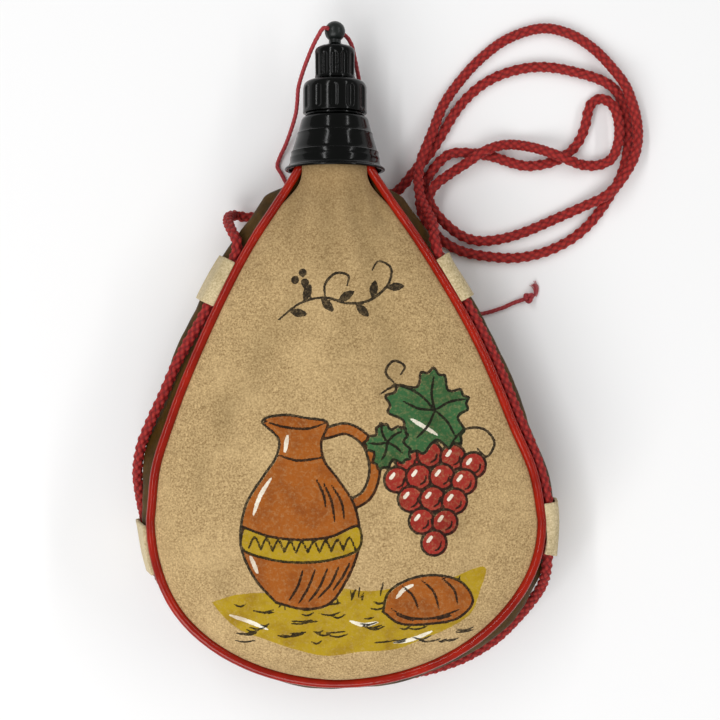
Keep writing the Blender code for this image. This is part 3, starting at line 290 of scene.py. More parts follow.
TETHER_ROUTE = in_metres((
    (-215.5, 587.5), (-223, 620), (-242, 674, 10), (-265, 721, 10), (-280, 748, 10),
    (-272, 778, 15), (-246, 831, 30), (-224, 885, 50), (-204, 944, 80), (-197, 982, 110),
    (-191, 1030, 150), (-174, 1076, 200), (-150, 1130, 240), (-132, 1168, 258), (-110, 1206, 274),
    (-89, 1232, 284), (-48, 1226.5, 250), (-7, 1217, 216), (13, 1190, 206), (24, 1150, 196),
    (34, 1104, 179), (44, 1052, 160), (46, 1004, 135), (41, 944, 110), (31, 884, 90), (20, 834, 66),
    (10, 764, 40), (-14, 699, 24), (-84, 656, 12), (-145, 628), (-178, 595), (-196, 574),
), STRING_RESTING)
TAIL_ROUTE = in_metres((
    (-252, 568), (-246, 543), (-222, 512), (-150, 466), (20, 400), (210, 310), (390, 210),
    (500, 165), (602, 186), (655, 209), (686.5, 220, 12),
), STRING_RESTING)
FRAY_ROUTE = in_metres((
    (739, 238, 12), (744, 252), (744, 272), (738, 284),
), STRING_RESTING)
print("routes:", len(EDGE_CORD_ROUTE), len(STRAP_ROUTE), len(TETHER_ROUTE), "places")

# %% Smooth route and wrapped tube
ROUTE_PIECES = 24


def run_along(line):
    """The distance along a line of places, at each of them."""
    return np.concatenate([[0.0], np.cumsum(np.linalg.norm(np.diff(line, axis=0), axis=1))])


def evenly_spaced(line, count):
    run = run_along(line)
    goals = np.linspace(0.0, run[-1], count)
    return np.stack([np.interp(goals, run, line[:, k]) for k in range(3)], 1)


def smooth_route(points, step):
    """Evenly spaced places on a smooth curve through the points, and the curve's length."""
    places = [Vector(p) for p in points]
    knots = [places[0] * 2 - places[1]] + places + [places[-1] * 2 - places[-2]]
    fine = []
    for i in range(1, len(knots) - 2):
        p0, p1, p2, p3 = knots[i - 1:i + 3]
        t0, t1 = 0.0, math.sqrt((p1 - p0).length)
        t2 = t1 + math.sqrt((p2 - p1).length)
        t3 = t2 + math.sqrt((p3 - p2).length)
        for k in range(ROUTE_PIECES):
            t = t1 + (t2 - t1) * k / ROUTE_PIECES
            a1 = p0.lerp(p1, (t - t0) / (t1 - t0))
            a2 = p1.lerp(p2, (t - t1) / (t2 - t1))
            a3 = p2.lerp(p3, (t - t2) / (t3 - t2))
            b1 = a1.lerp(a2, (t - t0) / (t2 - t0))
            b2 = a2.lerp(a3, (t - t1) / (t3 - t1))
            fine.append(b1.lerp(b2, (t - t1) / (t2 - t1)))
    fine = np.array(fine + [places[-1]])
    length = run_along(fine)[-1]
    return evenly_spaced(fine, max(2, round(length / step)) + 1), length


def carried_frames(route):
    """Two directions across the route at each place, carried along it without twisting."""
    ahead = np.gradient(route, axis=0)
    ahead /= np.linalg.norm(ahead, axis=1)[:, None]
    start = Vector(ahead[0]).orthogonal().normalized()
    side = [np.array(start)]
    for tangent in ahead[1:]:
        carried = side[-1] - tangent * (side[-1] @ tangent)
        side.append(carried / np.linalg.norm(carried))
    side = np.array(side)
    return side, np.cross(ahead, side)


def wrapped_tube(name, route, radius, sides, material, relief=None):
    """A grid wrapped round a route. relief(turn, run) gives the radius as a share."""
    side, up = carried_frames(route)
    run = run_along(route)
    bm, turn, ring = unit_grid(sides, len(route) - 1)
    uv_layer = bm.loops.layers.uv.new("lay")
    width = np.full(len(turn), radius)
    if relief is not None:
        width = width * relief(turn, run[ring])
    angle = turn * math.tau
    spoke = side[ring] * np.cos(angle)[:, None] + up[ring] * np.sin(angle)[:, None]
    places = route[ring] + spoke * width[:, None]
    for face in bm.faces:
        for loop in face.loops:
            k = loop.vert.index
            loop[uv_layer].uv = (turn[k], run[ring[k]] / (math.tau * radius))
    move_corners(bm, places)
    bmesh.ops.remove_doubles(bm, verts=bm.verts[:], dist=radius * 0.001)
    bmesh.ops.holes_fill(bm, edges=[e for e in bm.edges if e.is_boundary], sides=sides + 1)
    bmesh.ops.recalc_face_normals(bm, faces=bm.faces[:])
    obj = mesh_object(bm, name, material)
    print(name, "has", len(obj.data.polygons), "faces and is", round(run[-1] / MM), "mm long")
    return obj


def declare_cord(obj, start, route):
    """Turns the start into a tuple and does nothing else."""
    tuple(start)


# %% [markdown]
# ## Braided cord
# The shoulder cord is a red braid of strands that cross over and under each other. The relief
# below lays two families of strands round the cord, one to the left and one to the right, and
# lets them take turns on top. A strand is about 2 mm wide, which the camera can just see, and
# its fine yarns are thin lines in the material, drawn somewhat coarser than real ones.

# %% Braided cord material
def yarn_material(name, main, shade, light, yarns_round, lean):
    """Spun fibre: matt, soft sheen, fine yarn lines; painted shade in gaps, highlight on crowns."""
    material, tree, shader = new_material(
        name, Roughness=0.62, Sheen_Weight=0.03, Sheen_Roughness=0.4, Specular_IOR_Level=0.28
    )
    lay = add_node(tree, "ShaderNodeUVMap", uv_map="lay").outputs["UV"]
    split = add_node(tree, "ShaderNodeSeparateXYZ", {"Vector": lay}).outputs
    strand = stored(tree, "strand_height")
    slant = math_value(tree, "MULTIPLY_ADD", split["Y"], lean, split["X"])
    wave = math_value(tree, "SINE", math_value(tree, "MULTIPLY", slant, math.tau * yarns_round))
    fuzz = grain_noise(tree, object_place(tree), 0.0007, 3.0, 0.6)
    # painted shade: darker where the strands sink between each other
    tone = mix_colours(tree, spread(tree, strand, 0.05, 0.6), linear(shade), linear(main))
    tone = mix_colours(tree, spread(tree, wave, 0.3, 1.0, 0.0, 0.45), tone, linear(light))
    # painted highlight: lighter on the crowns of the strands
    tone = mix_colours(tree, spread(tree, strand, 0.65, 1.0, 0.0, 0.35), tone, linear(light))
    # random darker fuzz in the yarn, in the same colour as the painted shade
    tone = mix_colours(tree, spread(tree, fuzz, 0.35, 0.7, 0.0, 0.35), tone, linear(shade))
    tree.links.new(tone, shader.inputs["Base Color"])
    bump(tree, shader, math_value(tree, "MULTIPLY_ADD", wave, 0.4, fuzz), 0.00012, 0.6)
    return material


braid_red = yarn_material("braided_polypropylene_red", "9C141A", "4E070B", "D2503C", 26, 0.55)
print("material:", braid_red.name)

# %% Braided cord
STRANDS = 4
BRAID_LAY = 0.0150
BRAID_SIDES = 28
BRAID_STEP = 0.00052
BRAID_VALLEY, BRAID_RISE = 0.66, 0.38


def braid_height(turn, run):
    """Height of the braid's surface, from 0 between strands to 1 on a crown."""
    left = STRANDS * (turn + run / BRAID_LAY)
    right = STRANDS * (turn - run / BRAID_LAY)
    over = (np.floor(left) + np.floor(right)) % 2
    across_left, across_right = np.abs(np.sin(np.pi * left)), np.abs(np.sin(np.pi * right))
    left_crown = across_left ** 0.85 * (0.40 + 0.60 * across_right)
    right_crown = across_right ** 0.85 * (0.40 + 0.60 * across_left)
    return np.where(over == 0, left_crown, right_crown)


def braid_relief(turn, run):
    return BRAID_VALLEY + BRAID_RISE * braid_height(turn, run)


def store_value(obj, name, values):
    """A number at each corner point of the mesh, for the material to read."""
    layer = obj.data.attributes.new(name, "FLOAT", "POINT")
    layer.data.foreach_set("value", np.asarray(values, np.float32))


def store_strand_height(obj, route, radius, low, high):
    """How far the surface stands out, as a share, read back from the mesh."""
    tree = KDTree(len(route))
    for i, place in enumerate(route):
        tree.insert(place, i)
    tree.balance()
    stand = np.array([tree.find(vert.co)[2] for vert in obj.data.vertices]) / radius
    store_value(obj, "strand_height", np.clip((stand - low) / (high - low), 0.0, 1.0))


def braided_cord(name, points, node):
    route, length = smooth_route(points, BRAID_STEP)
    radius = CORD_DIAMETER / 2
    obj = wrapped_tube(name, route, radius, BRAID_SIDES, braid_red, braid_relief)
    store_strand_height(obj, route, radius, BRAID_VALLEY, BRAID_VALLEY + BRAID_RISE)
    dress(obj, "root", node)
    declare_cord(obj, points[0], route)


braided_cord("edge_cord_braid", EDGE_CORD_ROUTE, "edge_cord")
braided_cord("strap_braid", STRAP_ROUTE, "shoulder_strap")

# %% [markdown]
# ## Twisted string
# The stopper's tether is a thin string of three plies twisted together. It runs from the
# hitch on the cord up through the ball and down again. It is three pieces: two legs between
# the bag and the ring, and the top between the ring and the stopper. The tail lies on the
# table under the belly, with a knot near its end.

# %% Twisted string
PLIES = 3
PLY_LAY = 0.0056
STRING_SIDES = 15
STRING_STEP = 0.00035
STRING_VALLEY, STRING_RISE = 0.84, 0.20
SPLIT_Y = 0.1046

string_red = yarn_material("twisted_cotton_string_red", "A53038", "6E141B", "C65A58", 9, 1.4)


def ply_relief(turn, run):
    wave = np.abs(np.cos(math.pi * PLIES * (turn + run / PLY_LAY)))
    return STRING_VALLEY + STRING_RISE * wave ** 0.7


def twisted_string(name, route, node):
    radius = STRING_DIAMETER / 2
    obj = wrapped_tube(name, route, radius, STRING_SIDES, string_red, ply_relief)
    store_strand_height(obj, route, radius, STRING_VALLEY, STRING_VALLEY + STRING_RISE)
    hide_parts(node)
    return obj


def tether_part(name, route):
    """A part of the tether, a twisted string with its transform baked in."""
    obj = twisted_string(name, route, "cap_tether")
    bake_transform(obj)
    length = float(run_along(route)[-1])
    declare_cord(obj, route[0].tolist(), route)


tether, tether_length = smooth_route(TETHER_ROUTE, STRING_STEP)
highest = int(np.argmax(tether[:, 1]))
up = int(np.argmax(tether[:, 1] > SPLIT_Y))
down = highest + int(np.argmax(tether[highest:, 1] < SPLIT_Y))
tether_part("tether_left_leg", tether[:up + 1])
tether_part("tether_through_ball", tether[up:down + 1])
tether_part("tether_right_leg", tether[down:][::-1])
print("tether:", round(tether_length / MM), "mm in three pieces")

# %% Hitch, tail and knot
HITCH_PLACE = Vector((-0.0233, 0.0577, 0.0041))
HITCH_DIRECTION = Vector((-0.9705, -0.2410, 0.0)).normalized()
HITCH_TURNS = 2
HITCH_PITCH = 0.0020
HITCH_POINTS = 12
STRING_GAP = 0.0003
KNOT_PLACE = Vector((0.0713, 0.0229, 0.0022))
KNOT_SPREAD = 0.00125
KNOT_WIDTH, KNOT_HEIGHT, KNOT_LIFT = 0.42, 0.62, 0.15
KNOT_POINTS = 40
KNOT_ENTRY = 0.35


def string_piece(name, points, node):
    """A piece of string that stays with the bag, and its middle line."""
    route = smooth_route(points, STRING_STEP)[0]
    obj = twisted_string(name, route, node)
    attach(obj, "root")
    return obj, route


def hitch_places():
    """Two turns of the string round the strap, from under it and back to under it."""
    down = Vector((0.0, 0.0, -1.0))
    across = HITCH_DIRECTION.cross(down)
    radius = CORD_DIAMETER / 2 + STRING_GAP + STRING_DIAMETER / 2
    for i in range(HITCH_TURNS * HITCH_POINTS + 1):
        turn = math.tau * i / HITCH_POINTS
        shift = HITCH_PITCH * (i / HITCH_POINTS - HITCH_TURNS / 2)
        spoke = down * math.cos(turn) + across * math.sin(turn)
        yield HITCH_PLACE + spoke * radius + HITCH_DIRECTION * shift


def knot_places():
    """An overhand knot drawn tight: a trefoil curve, open where the string goes in."""
    for i in range(KNOT_POINTS + 1):
        t = math.tau * (0.04 + 0.92 * i / KNOT_POINTS)
        x = (math.sin(t) + 2 * math.sin(2 * t)) * KNOT_WIDTH
        y = (math.cos(t) - 2 * math.cos(2 * t)) * KNOT_WIDTH
        z = KNOT_LIFT - math.sin(3 * t) * KNOT_HEIGHT
        yield KNOT_PLACE + Vector((x, y, z)) * KNOT_SPREAD


string_piece("tether_hitch_turns", list(hitch_places()), "tether_hitch")
tether_knot_turns = string_piece("tether_knot_turns", list(knot_places()), "tether_knot")[0]
into_knot = KNOT_PLACE.lerp(Vector(TAIL_ROUTE[-1]), KNOT_ENTRY)
tail, tail_route = string_piece("tether_tail_string", TAIL_ROUTE + [into_knot], "tether_tail")

# %% Frayed end of the string
FRAY_FIBRES = 24
FRAY_CORE, FRAY_SPREAD = 0.0004, 0.0007
FIBRE_RADIUS = 0.00020
FIBRE_CORNERS = (0.0, math.tau / 3, 2 * math.tau / 3)

fray_route = smooth_route(FRAY_ROUTE, 0.0002)[0]
rng = np.random.default_rng(7)
bm = bmesh.new()
for _ in range(FRAY_FIBRES):
    lean = rng.normal(0.0, 1.0, 3)
    lean[2] = abs(lean[2]) * 0.6
    curl = rng.uniform(0.4, 1.0)
    before = None
    for place, share in zip(fray_route, np.linspace(0.0, 1.0, len(fray_route))):
        centre = Vector(place + lean * (FRAY_CORE + FRAY_SPREAD * curl * share ** 2.5))
        centre.z = max(centre.z, FIBRE_RADIUS)
        spokes = [Vector((math.cos(a), 0.2 * math.sin(a), math.sin(a))) for a in FIBRE_CORNERS]
        ring = [bm.verts.new(centre + spoke * FIBRE_RADIUS) for spoke in spokes]
        if before:
            for j in range(3):
                bm.faces.new((before[j], before[(j + 1) % 3], ring[(j + 1) % 3], ring[j]))
        else:
            bm.faces.new(ring[::-1])
        before = ring
    bm.faces.new(before)
bmesh.ops.recalc_face_normals(bm, faces=bm.faces[:])
fray_red = new_material(
    "loose_cotton_fibres_red", Base_Color=linear("B04046"), Roughness=0.8, Sheen_Weight=0.3
)[0]
frayed_end = mesh_object(bm, "tether_frayed_end", fray_red)
dress(frayed_end, "root", "tether_end")
tail_length = float(run_along(tail_route)[-1])
declare_cord(
    tail, TAIL_ROUTE[0], tail_route,
)
print("tail:", round(tail_length / MM), "mm to its knot, and", FRAY_FIBRES, "loose fibres")

# %% [markdown]
# ## The bag's form
# The bag is two teardrop panels of napped suede, joined by a band of dark leather. Its form is
# worked out with the same tables as the solids: half widths and seam heights by the share of
# the length. A panel is a flat grid that is moved onto the filled form, so that its lines run
# from seam to seam. Folds and puckers are added as true relief before the edge is turned in.

# %% Tables of the bag's form
GAP = 0.0003
SEAM_HALF_WIDTH = 0.0723
WIDEST_Y = -0.0606
BELLY_DEPTH = 0.0613
BELLY_POWER = 2.1
LIP_Y = 0.0699
AXIS_X, AXIS_Z = -0.0048, 0.0250
NECK_SEAM_ANGLE = math.radians(57)
NECK_LIP_RADIUS, NECK_TUBE_RADIUS = 0.0155, 0.0109
NECK_TUBE_Y, NECK_TOP_Y = 0.0815, 0.0879
NECK_BLEND_LENGTH = 0.0140
PIPING_RADIUS = 0.0015
SEAM_GAP = 0.00006
SUEDE_THICKNESS = 0.0012
BAG_THICKNESS = 0.0500
FRONT_CROWN, FRONT_CROWN_POWER = 0.0115, 0.75
BACK_CROWN, BACK_CROWN_POWER = 0.0112, 0.60
CROWN_WIDTH_POWER = 0.75
GUSSET_BULGE = 0.0092
BACK_SKEW = 0.0012
BELLY_LEAN = 0.0042
LOWEST_Y = WIDEST_Y - BELLY_DEPTH


def smooth_table(pairs):
    """A smooth curve through (place, value) pairs, as a function of an array."""
    x, y = np.array(pairs, float).T
    slope = np.empty(len(x))
    slope[1:-1] = (y[2:] - y[:-2]) / (x[2:] - x[:-2])
    slope[0], slope[-1] = (y[1] - y[0]) / (x[1] - x[0]), (y[-1] - y[-2]) / (x[-1] - x[-2])

    def value(at):
        at = np.clip(at, x[0], x[-1])
        i = np.clip(np.searchsorted(x, at, side="right") - 1, 0, len(x) - 2)
        span = x[i + 1] - x[i]
        t = (at - x[i]) / span
        return (
            y[i] * (2 * t ** 3 - 3 * t ** 2 + 1)
            + slope[i] * span * (t ** 3 - 2 * t ** 2 + t)
            + y[i + 1] * (3 * t ** 2 - 2 * t ** 3)
            + slope[i + 1] * span * (t ** 3 - t ** 2)
        )

    return value


LIP_SHARE = 0.180
shoulder_share = smooth_table(
    ((0.0, 1.0), (0.14, 0.963), (0.27, 0.877), (0.40, 0.786), (0.53, 0.681), (0.66, 0.560),
     (0.79, 0.424), (0.91, 0.280), (1.0, LIP_SHARE))
)
lean_share = smooth_table(
    ((0.0, 0.35), (0.12, 0.60), (0.24, 1.0), (0.36, 1.0), (0.50, 0.62), (0.68, 0.48),
     (0.84, 0.15), (1.0, 0.0))
)
front_seam_share = smooth_table(
    ((0.0, 0.70), (0.15, 0.75), (0.40, 0.77), (0.75, 0.77), (1.0, 0.70))
)
back_seam_share = smooth_table(
    ((0.0, 0.24), (0.15, 0.20), (0.40, 0.19), (0.75, 0.21), (1.0, 0.29))
)
left_bulge_share = smooth_table(
    ((0.0, 0.50), (0.06, 0.44), (0.12, 0.44), (0.20, 0.53), (0.33, 0.65), (0.46, 0.85),
     (0.62, 1.0), (0.76, 1.0), (0.88, 0.78), (1.0, 0.66))
)
right_bulge_share = smooth_table(
    ((0.0, 0.50), (0.04, 0.52), (0.09, 0.64), (0.14, 0.72), (0.20, 0.56), (0.33, 0.65),
     (0.46, 0.68), (0.54, 0.77), (0.62, 0.75), (0.76, 0.71), (0.88, 0.60), (1.0, 0.60))
)
neck_radius_share = smooth_table(
    ((0.0, 1.0), (0.25, 0.86), (0.60, 0.35), (0.85, 0.05), (1.0, 0.0))
)


def ease(x):
    """A smooth step from 0 to 1."""
    x = np.clip(x, 0.0, 1.0)
    return x * x * (3 - 2 * x)


def along(y):
    return (y - LOWEST_Y) / (LIP_Y - LOWEST_Y)


def neck_radius(y):
    share = neck_radius_share((y - LIP_Y) / (NECK_TUBE_Y - LIP_Y))
    return NECK_TUBE_RADIUS + (NECK_LIP_RADIUS - NECK_TUBE_RADIUS) * share


def neckness(y):
    """0 where the section is the bag's own, 1 where it is round like the neck."""
    return ease((y - LIP_Y + NECK_BLEND_LENGTH) / NECK_BLEND_LENGTH)


def half_width(y):
    """From the bag's centre line to the middle of the piping."""
    y = np.asarray(y, float)
    neck = neck_radius(y) * math.sin(NECK_SEAM_ANGLE)
    lip = NECK_LIP_RADIUS * math.sin(NECK_SEAM_ANGLE)
    share = shoulder_share((y - WIDEST_Y) / (LIP_Y - WIDEST_Y))
    share = (share - LIP_SHARE) / (1 - LIP_SHARE)
    shoulder = lip + (SEAM_HALF_WIDTH - lip) * share
    fall = np.clip((WIDEST_Y - y) / BELLY_DEPTH, 0.0, 1.0)
    belly = SEAM_HALF_WIDTH * np.sqrt(np.maximum(0.0, 1 - fall ** BELLY_POWER))
    return np.where(y >= LIP_Y, neck, np.where(y >= WIDEST_Y, shoulder, belly))


def seam_place(side, y, front):
    """The middle of the piping, as an array of places."""
    y = np.asarray(y, float)
    lean = lean_share(along(y))
    x = AXIS_X + BELLY_LEAN * lean + side * half_width(y) + (0.0 if front else BACK_SKEW) * lean
    belly = BAG_THICKNESS * (front_seam_share if front else back_seam_share)(along(y))
    rise = neck_radius(y) * math.cos(NECK_SEAM_ANGLE)
    neck = AXIS_Z + (rise if front else -rise)
    z = belly + (neck - belly) * neckness(y)
    return np.stack([x, y, z], -1)


def outline_normal(side, y):
    """The outline's outward direction, flat on the table. side is 0 at the lowest point."""
    step = BELLY_DEPTH * 0.0025
    high = seam_place(side, np.minimum(y + step, LIP_Y), True)
    low = seam_place(side, np.maximum(np.minimum(y, LIP_Y) - step, LOWEST_Y), True)
    run = high - low
    side_3 = np.broadcast_to(np.asarray(side, float), np.shape(y))[..., None]
    normal = np.stack([run[..., 1], -run[..., 0], np.zeros_like(run[..., 0])], -1) * side_3
    normal /= np.maximum(np.linalg.norm(normal, axis=-1), 1e-12)[..., None]
    share = neckness(y)[..., None]
    straight = np.concatenate([side_3, np.zeros_like(side_3), np.zeros_like(side_3)], -1)
    normal = normal * (1 - share) + straight * share
    normal = np.where(side_3 == 0, np.array([0.0, -1.0, 0.0]), normal)
    return normal / np.linalg.norm(normal, axis=-1)[..., None]


print("form: widest", round(2 * SEAM_HALF_WIDTH / MM, 1), "mm, lowest seam at", round(LOWEST_Y, 4))

# %% Rows of the panels
NECK_ROWS = 8


def row_heights(shoulder_rows, belly_rows):
    """Y of each row from the neck's top to the lowest point, close together at the bottom."""
    neck = np.linspace(NECK_TOP_Y, LIP_Y, NECK_ROWS, endpoint=False)
    shoulder = LIP_Y + (WIDEST_Y - LIP_Y) * np.linspace(0, 1, shoulder_rows, endpoint=False)
    belly = WIDEST_Y - BELLY_DEPTH * np.sin(np.linspace(0, math.pi / 2, belly_rows + 1))
    return np.concatenate([neck, shoulder, belly])


def soft_noise(x, y, size, seed):
    """Smooth bumps about the given size apart, between -1 and 1, the same on every run."""
    rng = np.random.default_rng(seed)
    total = np.zeros(np.shape(x))
    for octave in range(3):
        for _ in range(4):
            angle, phase = rng.uniform(0, math.tau, 2)
            pitch = size / (1.7 ** octave) * rng.uniform(0.8, 1.25)
            total = total + 0.55 ** octave * np.sin(
                math.tau * (x * math.cos(angle) + y * math.sin(angle)) / pitch + phase
            )
    return total / 4.5


# Soft folds that run from the gathered neck into the belly, and a few short ones by the seams:
# start, end, half width and depth in millimetres, as read from the photograph. The back's are
# guesses.
FRONT_FOLDS = (
    (-16, 68, -20, 44, 4.0, 0.9), (-7, 69, -9, 30, 4.5, 0.8), (3, 69, 7, 40, 4.0, 1.0),
    (8, 66, 16, 48, 3.5, 1.1), (9, 52, 14, 8, 5.0, 0.7), (14, 14, 18, -22, 5.5, 1.0),
    (24, 0, 33, -42, 6.0, 0.8), (33, -18, 44, -34, 5.0, 1.0), (40, -50, 44, -66, 5.0, 0.8),
    (-40, -12, -47, -30, 5.0, 1.1), (-27, 14, -37, -14, 5.5, 0.7), (-52, -34, -55, -52, 4.5, 0.7),
    (-18, 30, -25, 2, 5.0, 0.6), (2, 26, 0, -12, 6.5, 0.5), (48, -74, 42, -92, 5.0, 0.6),
    (-50, -74, -42, -92, 5.0, 0.6), (-20, -96, -16, -114, 5.5, 0.4), (18, -98, 14, -114, 5.5, 0.4),
)
BACK_FOLDS = (
    (-14, 68, -20, 36, 4.0, 1.1), (-5, 68, -6, 30, 4.5, 0.9), (5, 68, 9, 34, 4.5, 1.2),
    (-30, 14, -42, -20, 5.5, 0.9), (26, 12, 42, -24, 5.5, 1.0), (-54, -44, -52, -78, 5.0, 0.8),
    (54, -42, 52, -78, 5.0, 0.9), (-36, -92, -24, -112, 5.0, 0.8), (34, -92, 20, -112, 5.0, 0.8),
)


FOLD_BEND = 0.0016


def fold_depth(x, y, folds):
    """How deep the folds are at each place, in metres."""
    depth = np.zeros(np.shape(x))
    for x0, y0, x1, y1, width, deep in folds:
        start, run = np.array([x0, y0]) * MM, np.array([x1 - x0, y1 - y0]) * MM
        t = ((x - start[0]) * run[0] + (y - start[1]) * run[1]) / (run @ run)
        near = np.clip(t, 0, 1)
        bend = FOLD_BEND * np.sin(near * math.pi + x0)
        aside = np.hypot(x - start[0] - near * run[0] - bend, y - start[1] - near * run[1])
        profile = np.exp(-(aside / (width * MM)) ** 2)
        fade = 0.35 + 0.65 * np.sin(np.clip(near, 0.02, 0.98) * math.pi)
        depth = depth + deep * MM * profile * fade
    return depth


def panel_places(across, y, front):
    """The filled form of a panel, before its folds. Its edge is drawn close to the piping."""
    edge = PIPING_RADIUS + SEAM_GAP
    left = seam_place(-1, y, front) - outline_normal(-1, y) * edge
    right = seam_place(1, y, front) - outline_normal(1, y) * edge
    lowest = y <= LOWEST_Y + 1e-7
    tip = seam_place(0, y, front) + np.array([0.0, edge, 0.0])
    left, right = (np.where(lowest[..., None], tip, side) for side in (left, right))
    belly = left + (right - left) * ((across + 1) / 2)[..., None]
    crown_share = (half_width(y) / SEAM_HALF_WIDTH) ** CROWN_WIDTH_POWER
    bow = np.maximum(0.0, 1 - across ** 2)
    if front:
        belly[..., 2] += FRONT_CROWN * crown_share * bow ** FRONT_CROWN_POWER
    else:
        belly[..., 2] -= BACK_CROWN * crown_share * bow ** BACK_CROWN_POWER
    radius = neck_radius(y)
    angle = (NECK_SEAM_ANGLE - edge / NECK_LIP_RADIUS) * across
    rise = radius * np.cos(angle) * (1 if front else -1)
    neck = np.stack([AXIS_X + radius * np.sin(angle), y, AXIS_Z + rise], -1)
    share = neckness(y)[..., None]
    return belly * (1 - share) + neck * share


def turned_in(bm, depth, inwards):
    """The cut edge of a panel: down by its thickness, then in along the seam allowance."""
    middle = Vector((AXIS_X, WIDEST_Y * 0.5, AXIS_Z))
    for drop, width in ((depth, 0.0), (0.0, inwards)):
        rim = [e for e in bm.edges if e.is_boundary]
        made = bmesh.ops.extrude_edge_only(bm, edges=rim)["geom"]
        for vert in (v for v in made if isinstance(v, bmesh.types.BMVert)):
            flat = middle - vert.co
            flat.z = 0.0
            vert.co += flat.normalized() * width
            vert.co.z -= drop


print("rows:", len(row_heights(200, 150)), "on the front panel")

# %% [markdown]
# ## Suede
# The face of the bag is the napped, flesh side of the hide. Its fibres catch the light in
# specks about half a millimetre across. Painted shade makes it darker and greyer where it
# folds, and darker towards the neck.
# The nap is colour and fine relief in the material, because the mesh can't hold hairs.

# %% Suede material
def napped(name, main, light, dark, stain_and_fold_shade_tone, speck=0.0007):
    """Napped leather: specks of fibre, blotches, painted shade in folds and by the neck."""
    material, tree, shader = new_material(
        name, Roughness=0.88, Sheen_Weight=0.08, Sheen_Roughness=0.55, Specular_IOR_Level=0.12
    )
    place = object_place(tree)
    specks = grain_noise(tree, place, speck, 3.0, 0.75)
    fibres = grain_noise(tree, place, speck * 2.6, 4.0, 0.7)
    cloud = grain_noise(tree, place, 0.022, 3.0, 0.6)
    stain = grain_noise(tree, place, 0.0075, 4.0, 0.65)
    tone = mix_colours(tree, spread(tree, specks, 0.32, 0.68), linear(dark), linear(light))
    tone = mix_colours(tree, 0.20, tone, linear(main))
    tone = mix_colours(tree, spread(tree, fibres, 0.52, 0.78, 0.0, 0.48), tone, linear(dark))
    tone = mix_colours(tree, spread(tree, cloud, 0.45, 0.70, 0.0, 0.30), tone, linear(light))
    tone = mix_colours(tree, spread(tree, stain, 0.56, 0.76, 0.0, 0.25), tone, linear(stain_and_fold_shade_tone))
    # painted shade: the hollows of the folds are painted darker and greyer
    crease = spread(tree, stored(tree, "fold"), 0.0, 1.0, 0.0, 0.40)
    crease = math_value(tree, "MULTIPLY", crease, spread(tree, fibres, 0.3, 0.7, 0.55, 1.25))
    tone = mix_colours(tree, crease, tone, linear(stain_and_fold_shade_tone))
    # painted shade: the suede is painted darker towards the neck, where the light falls off
    lengthwise = add_node(tree, "ShaderNodeSeparateXYZ", {"Vector": place}).outputs["Y"]
    painted_neck_shade = spread(tree, lengthwise, 0.022, 0.072, 0.0, 0.50)
    tone = mix_colours(tree, painted_neck_shade, tone, linear(dark))
    tree.links.new(tone, shader.inputs["Base Color"])
    bump(tree, shader, math_value(tree, "MULTIPLY_ADD", specks, 0.7, fibres), 0.00022, 0.75)
    return material, tree, shader, tone


suede, suede_tree, suede_shader, suede_tone = napped(
    "napped_suede_tan", "B89A68", "DEC08C", "765A36", "7E6842"
)
print("material:", suede.name)

# %% [markdown]
# ## Front panel
# The front panel is one grid of fine quads. Its rows run across from seam to seam and crowd
# together at the bottom, where the outline turns. The folds are pressed into it, and small
# puckers run in from the seam, because stitches draw the hide up between them.

# %% Front panel
PUCKER_PITCH = 0.0058
PUCKER_DEPTH = 0.00022
PUCKER_REACH = 0.0052
UNDULATION = 0.00032


def mesh_places(obj):
    flat = np.empty(len(obj.data.vertices) * 3)
    obj.data.vertices.foreach_get("co", flat)
    return flat.reshape(-1, 3)


def formed_panel(name, front, columns, shoulder_rows, belly_rows, folds, node):
    rows = row_heights(shoulder_rows, belly_rows)[::-1]
    bm, across, row = unit_grid(columns, len(rows) - 1)
    across = 2 * across - 1
    across = np.sin(across * math.pi / 2) * 0.35 + across * 0.65
    y = rows[row]
    places = panel_places(across, y, front)
    fold = fold_depth(places[:, 0], places[:, 1], folds)
    left = np.linalg.norm((places - seam_place(-1, y, front))[:, :2], axis=1)
    right = np.linalg.norm((places - seam_place(1, y, front))[:, :2], axis=1)
    inside = np.minimum(left, right) - PIPING_RADIUS - SEAM_GAP
    hold = ease(inside / 0.006)
    run = run_along(np.stack([half_width(rows), rows], 1)[::-1])[::-1][row]
    pucker = (0.5 + 0.5 * np.cos(math.tau * run / PUCKER_PITCH + 2.2 * np.sin(run / 0.013)))
    pucker = pucker * np.exp(-inside / PUCKER_REACH) * ease(inside / 0.0016) * PUCKER_DEPTH * 2
    swell = UNDULATION * soft_noise(places[:, 0], places[:, 1], 0.030, 3)
    in_hand = 1 - 0.7 * neckness(y)
    drop = (fold * in_hand + pucker * (1 - neckness(y)) - swell * (1 - neckness(y))) * hold
    sign = 1 if front else -1
    if not front:
        drop = np.where(places[:, 2] < 0.0009, np.minimum(drop, 0.0), drop)
    places[:, 2] = np.maximum(places[:, 2] - sign * drop, 0.0)
    move_corners(bm, places)
    bmesh.ops.remove_doubles(bm, verts=bm.verts[:], dist=0.00001)
    turned_in(bm, SUEDE_THICKNESS * sign, 0.0006)
    bmesh.ops.recalc_face_normals(bm, faces=bm.faces[:])
    inside = Vector((0.0, -0.04, 0.05 if front else 0.0))
    middle = min(bm.faces, key=lambda face: (face.calc_center_median() - inside).length)
    if middle.normal.z * sign < 0:
        bmesh.ops.reverse_faces(bm, faces=bm.faces[:])
    obj = mesh_object(bm, name, suede)
    places = mesh_places(obj)
    store_value(obj, "fold", np.clip(fold_depth(places[:, 0], places[:, 1], folds) / MM, 0, 1))
    dress(obj, "root", node)
    print(name, "has", len(obj.data.polygons), "faces")
    return obj


front_suede = formed_panel("front_panel_suede", True, 250, 200, 150, FRONT_FOLDS, "front_panel")

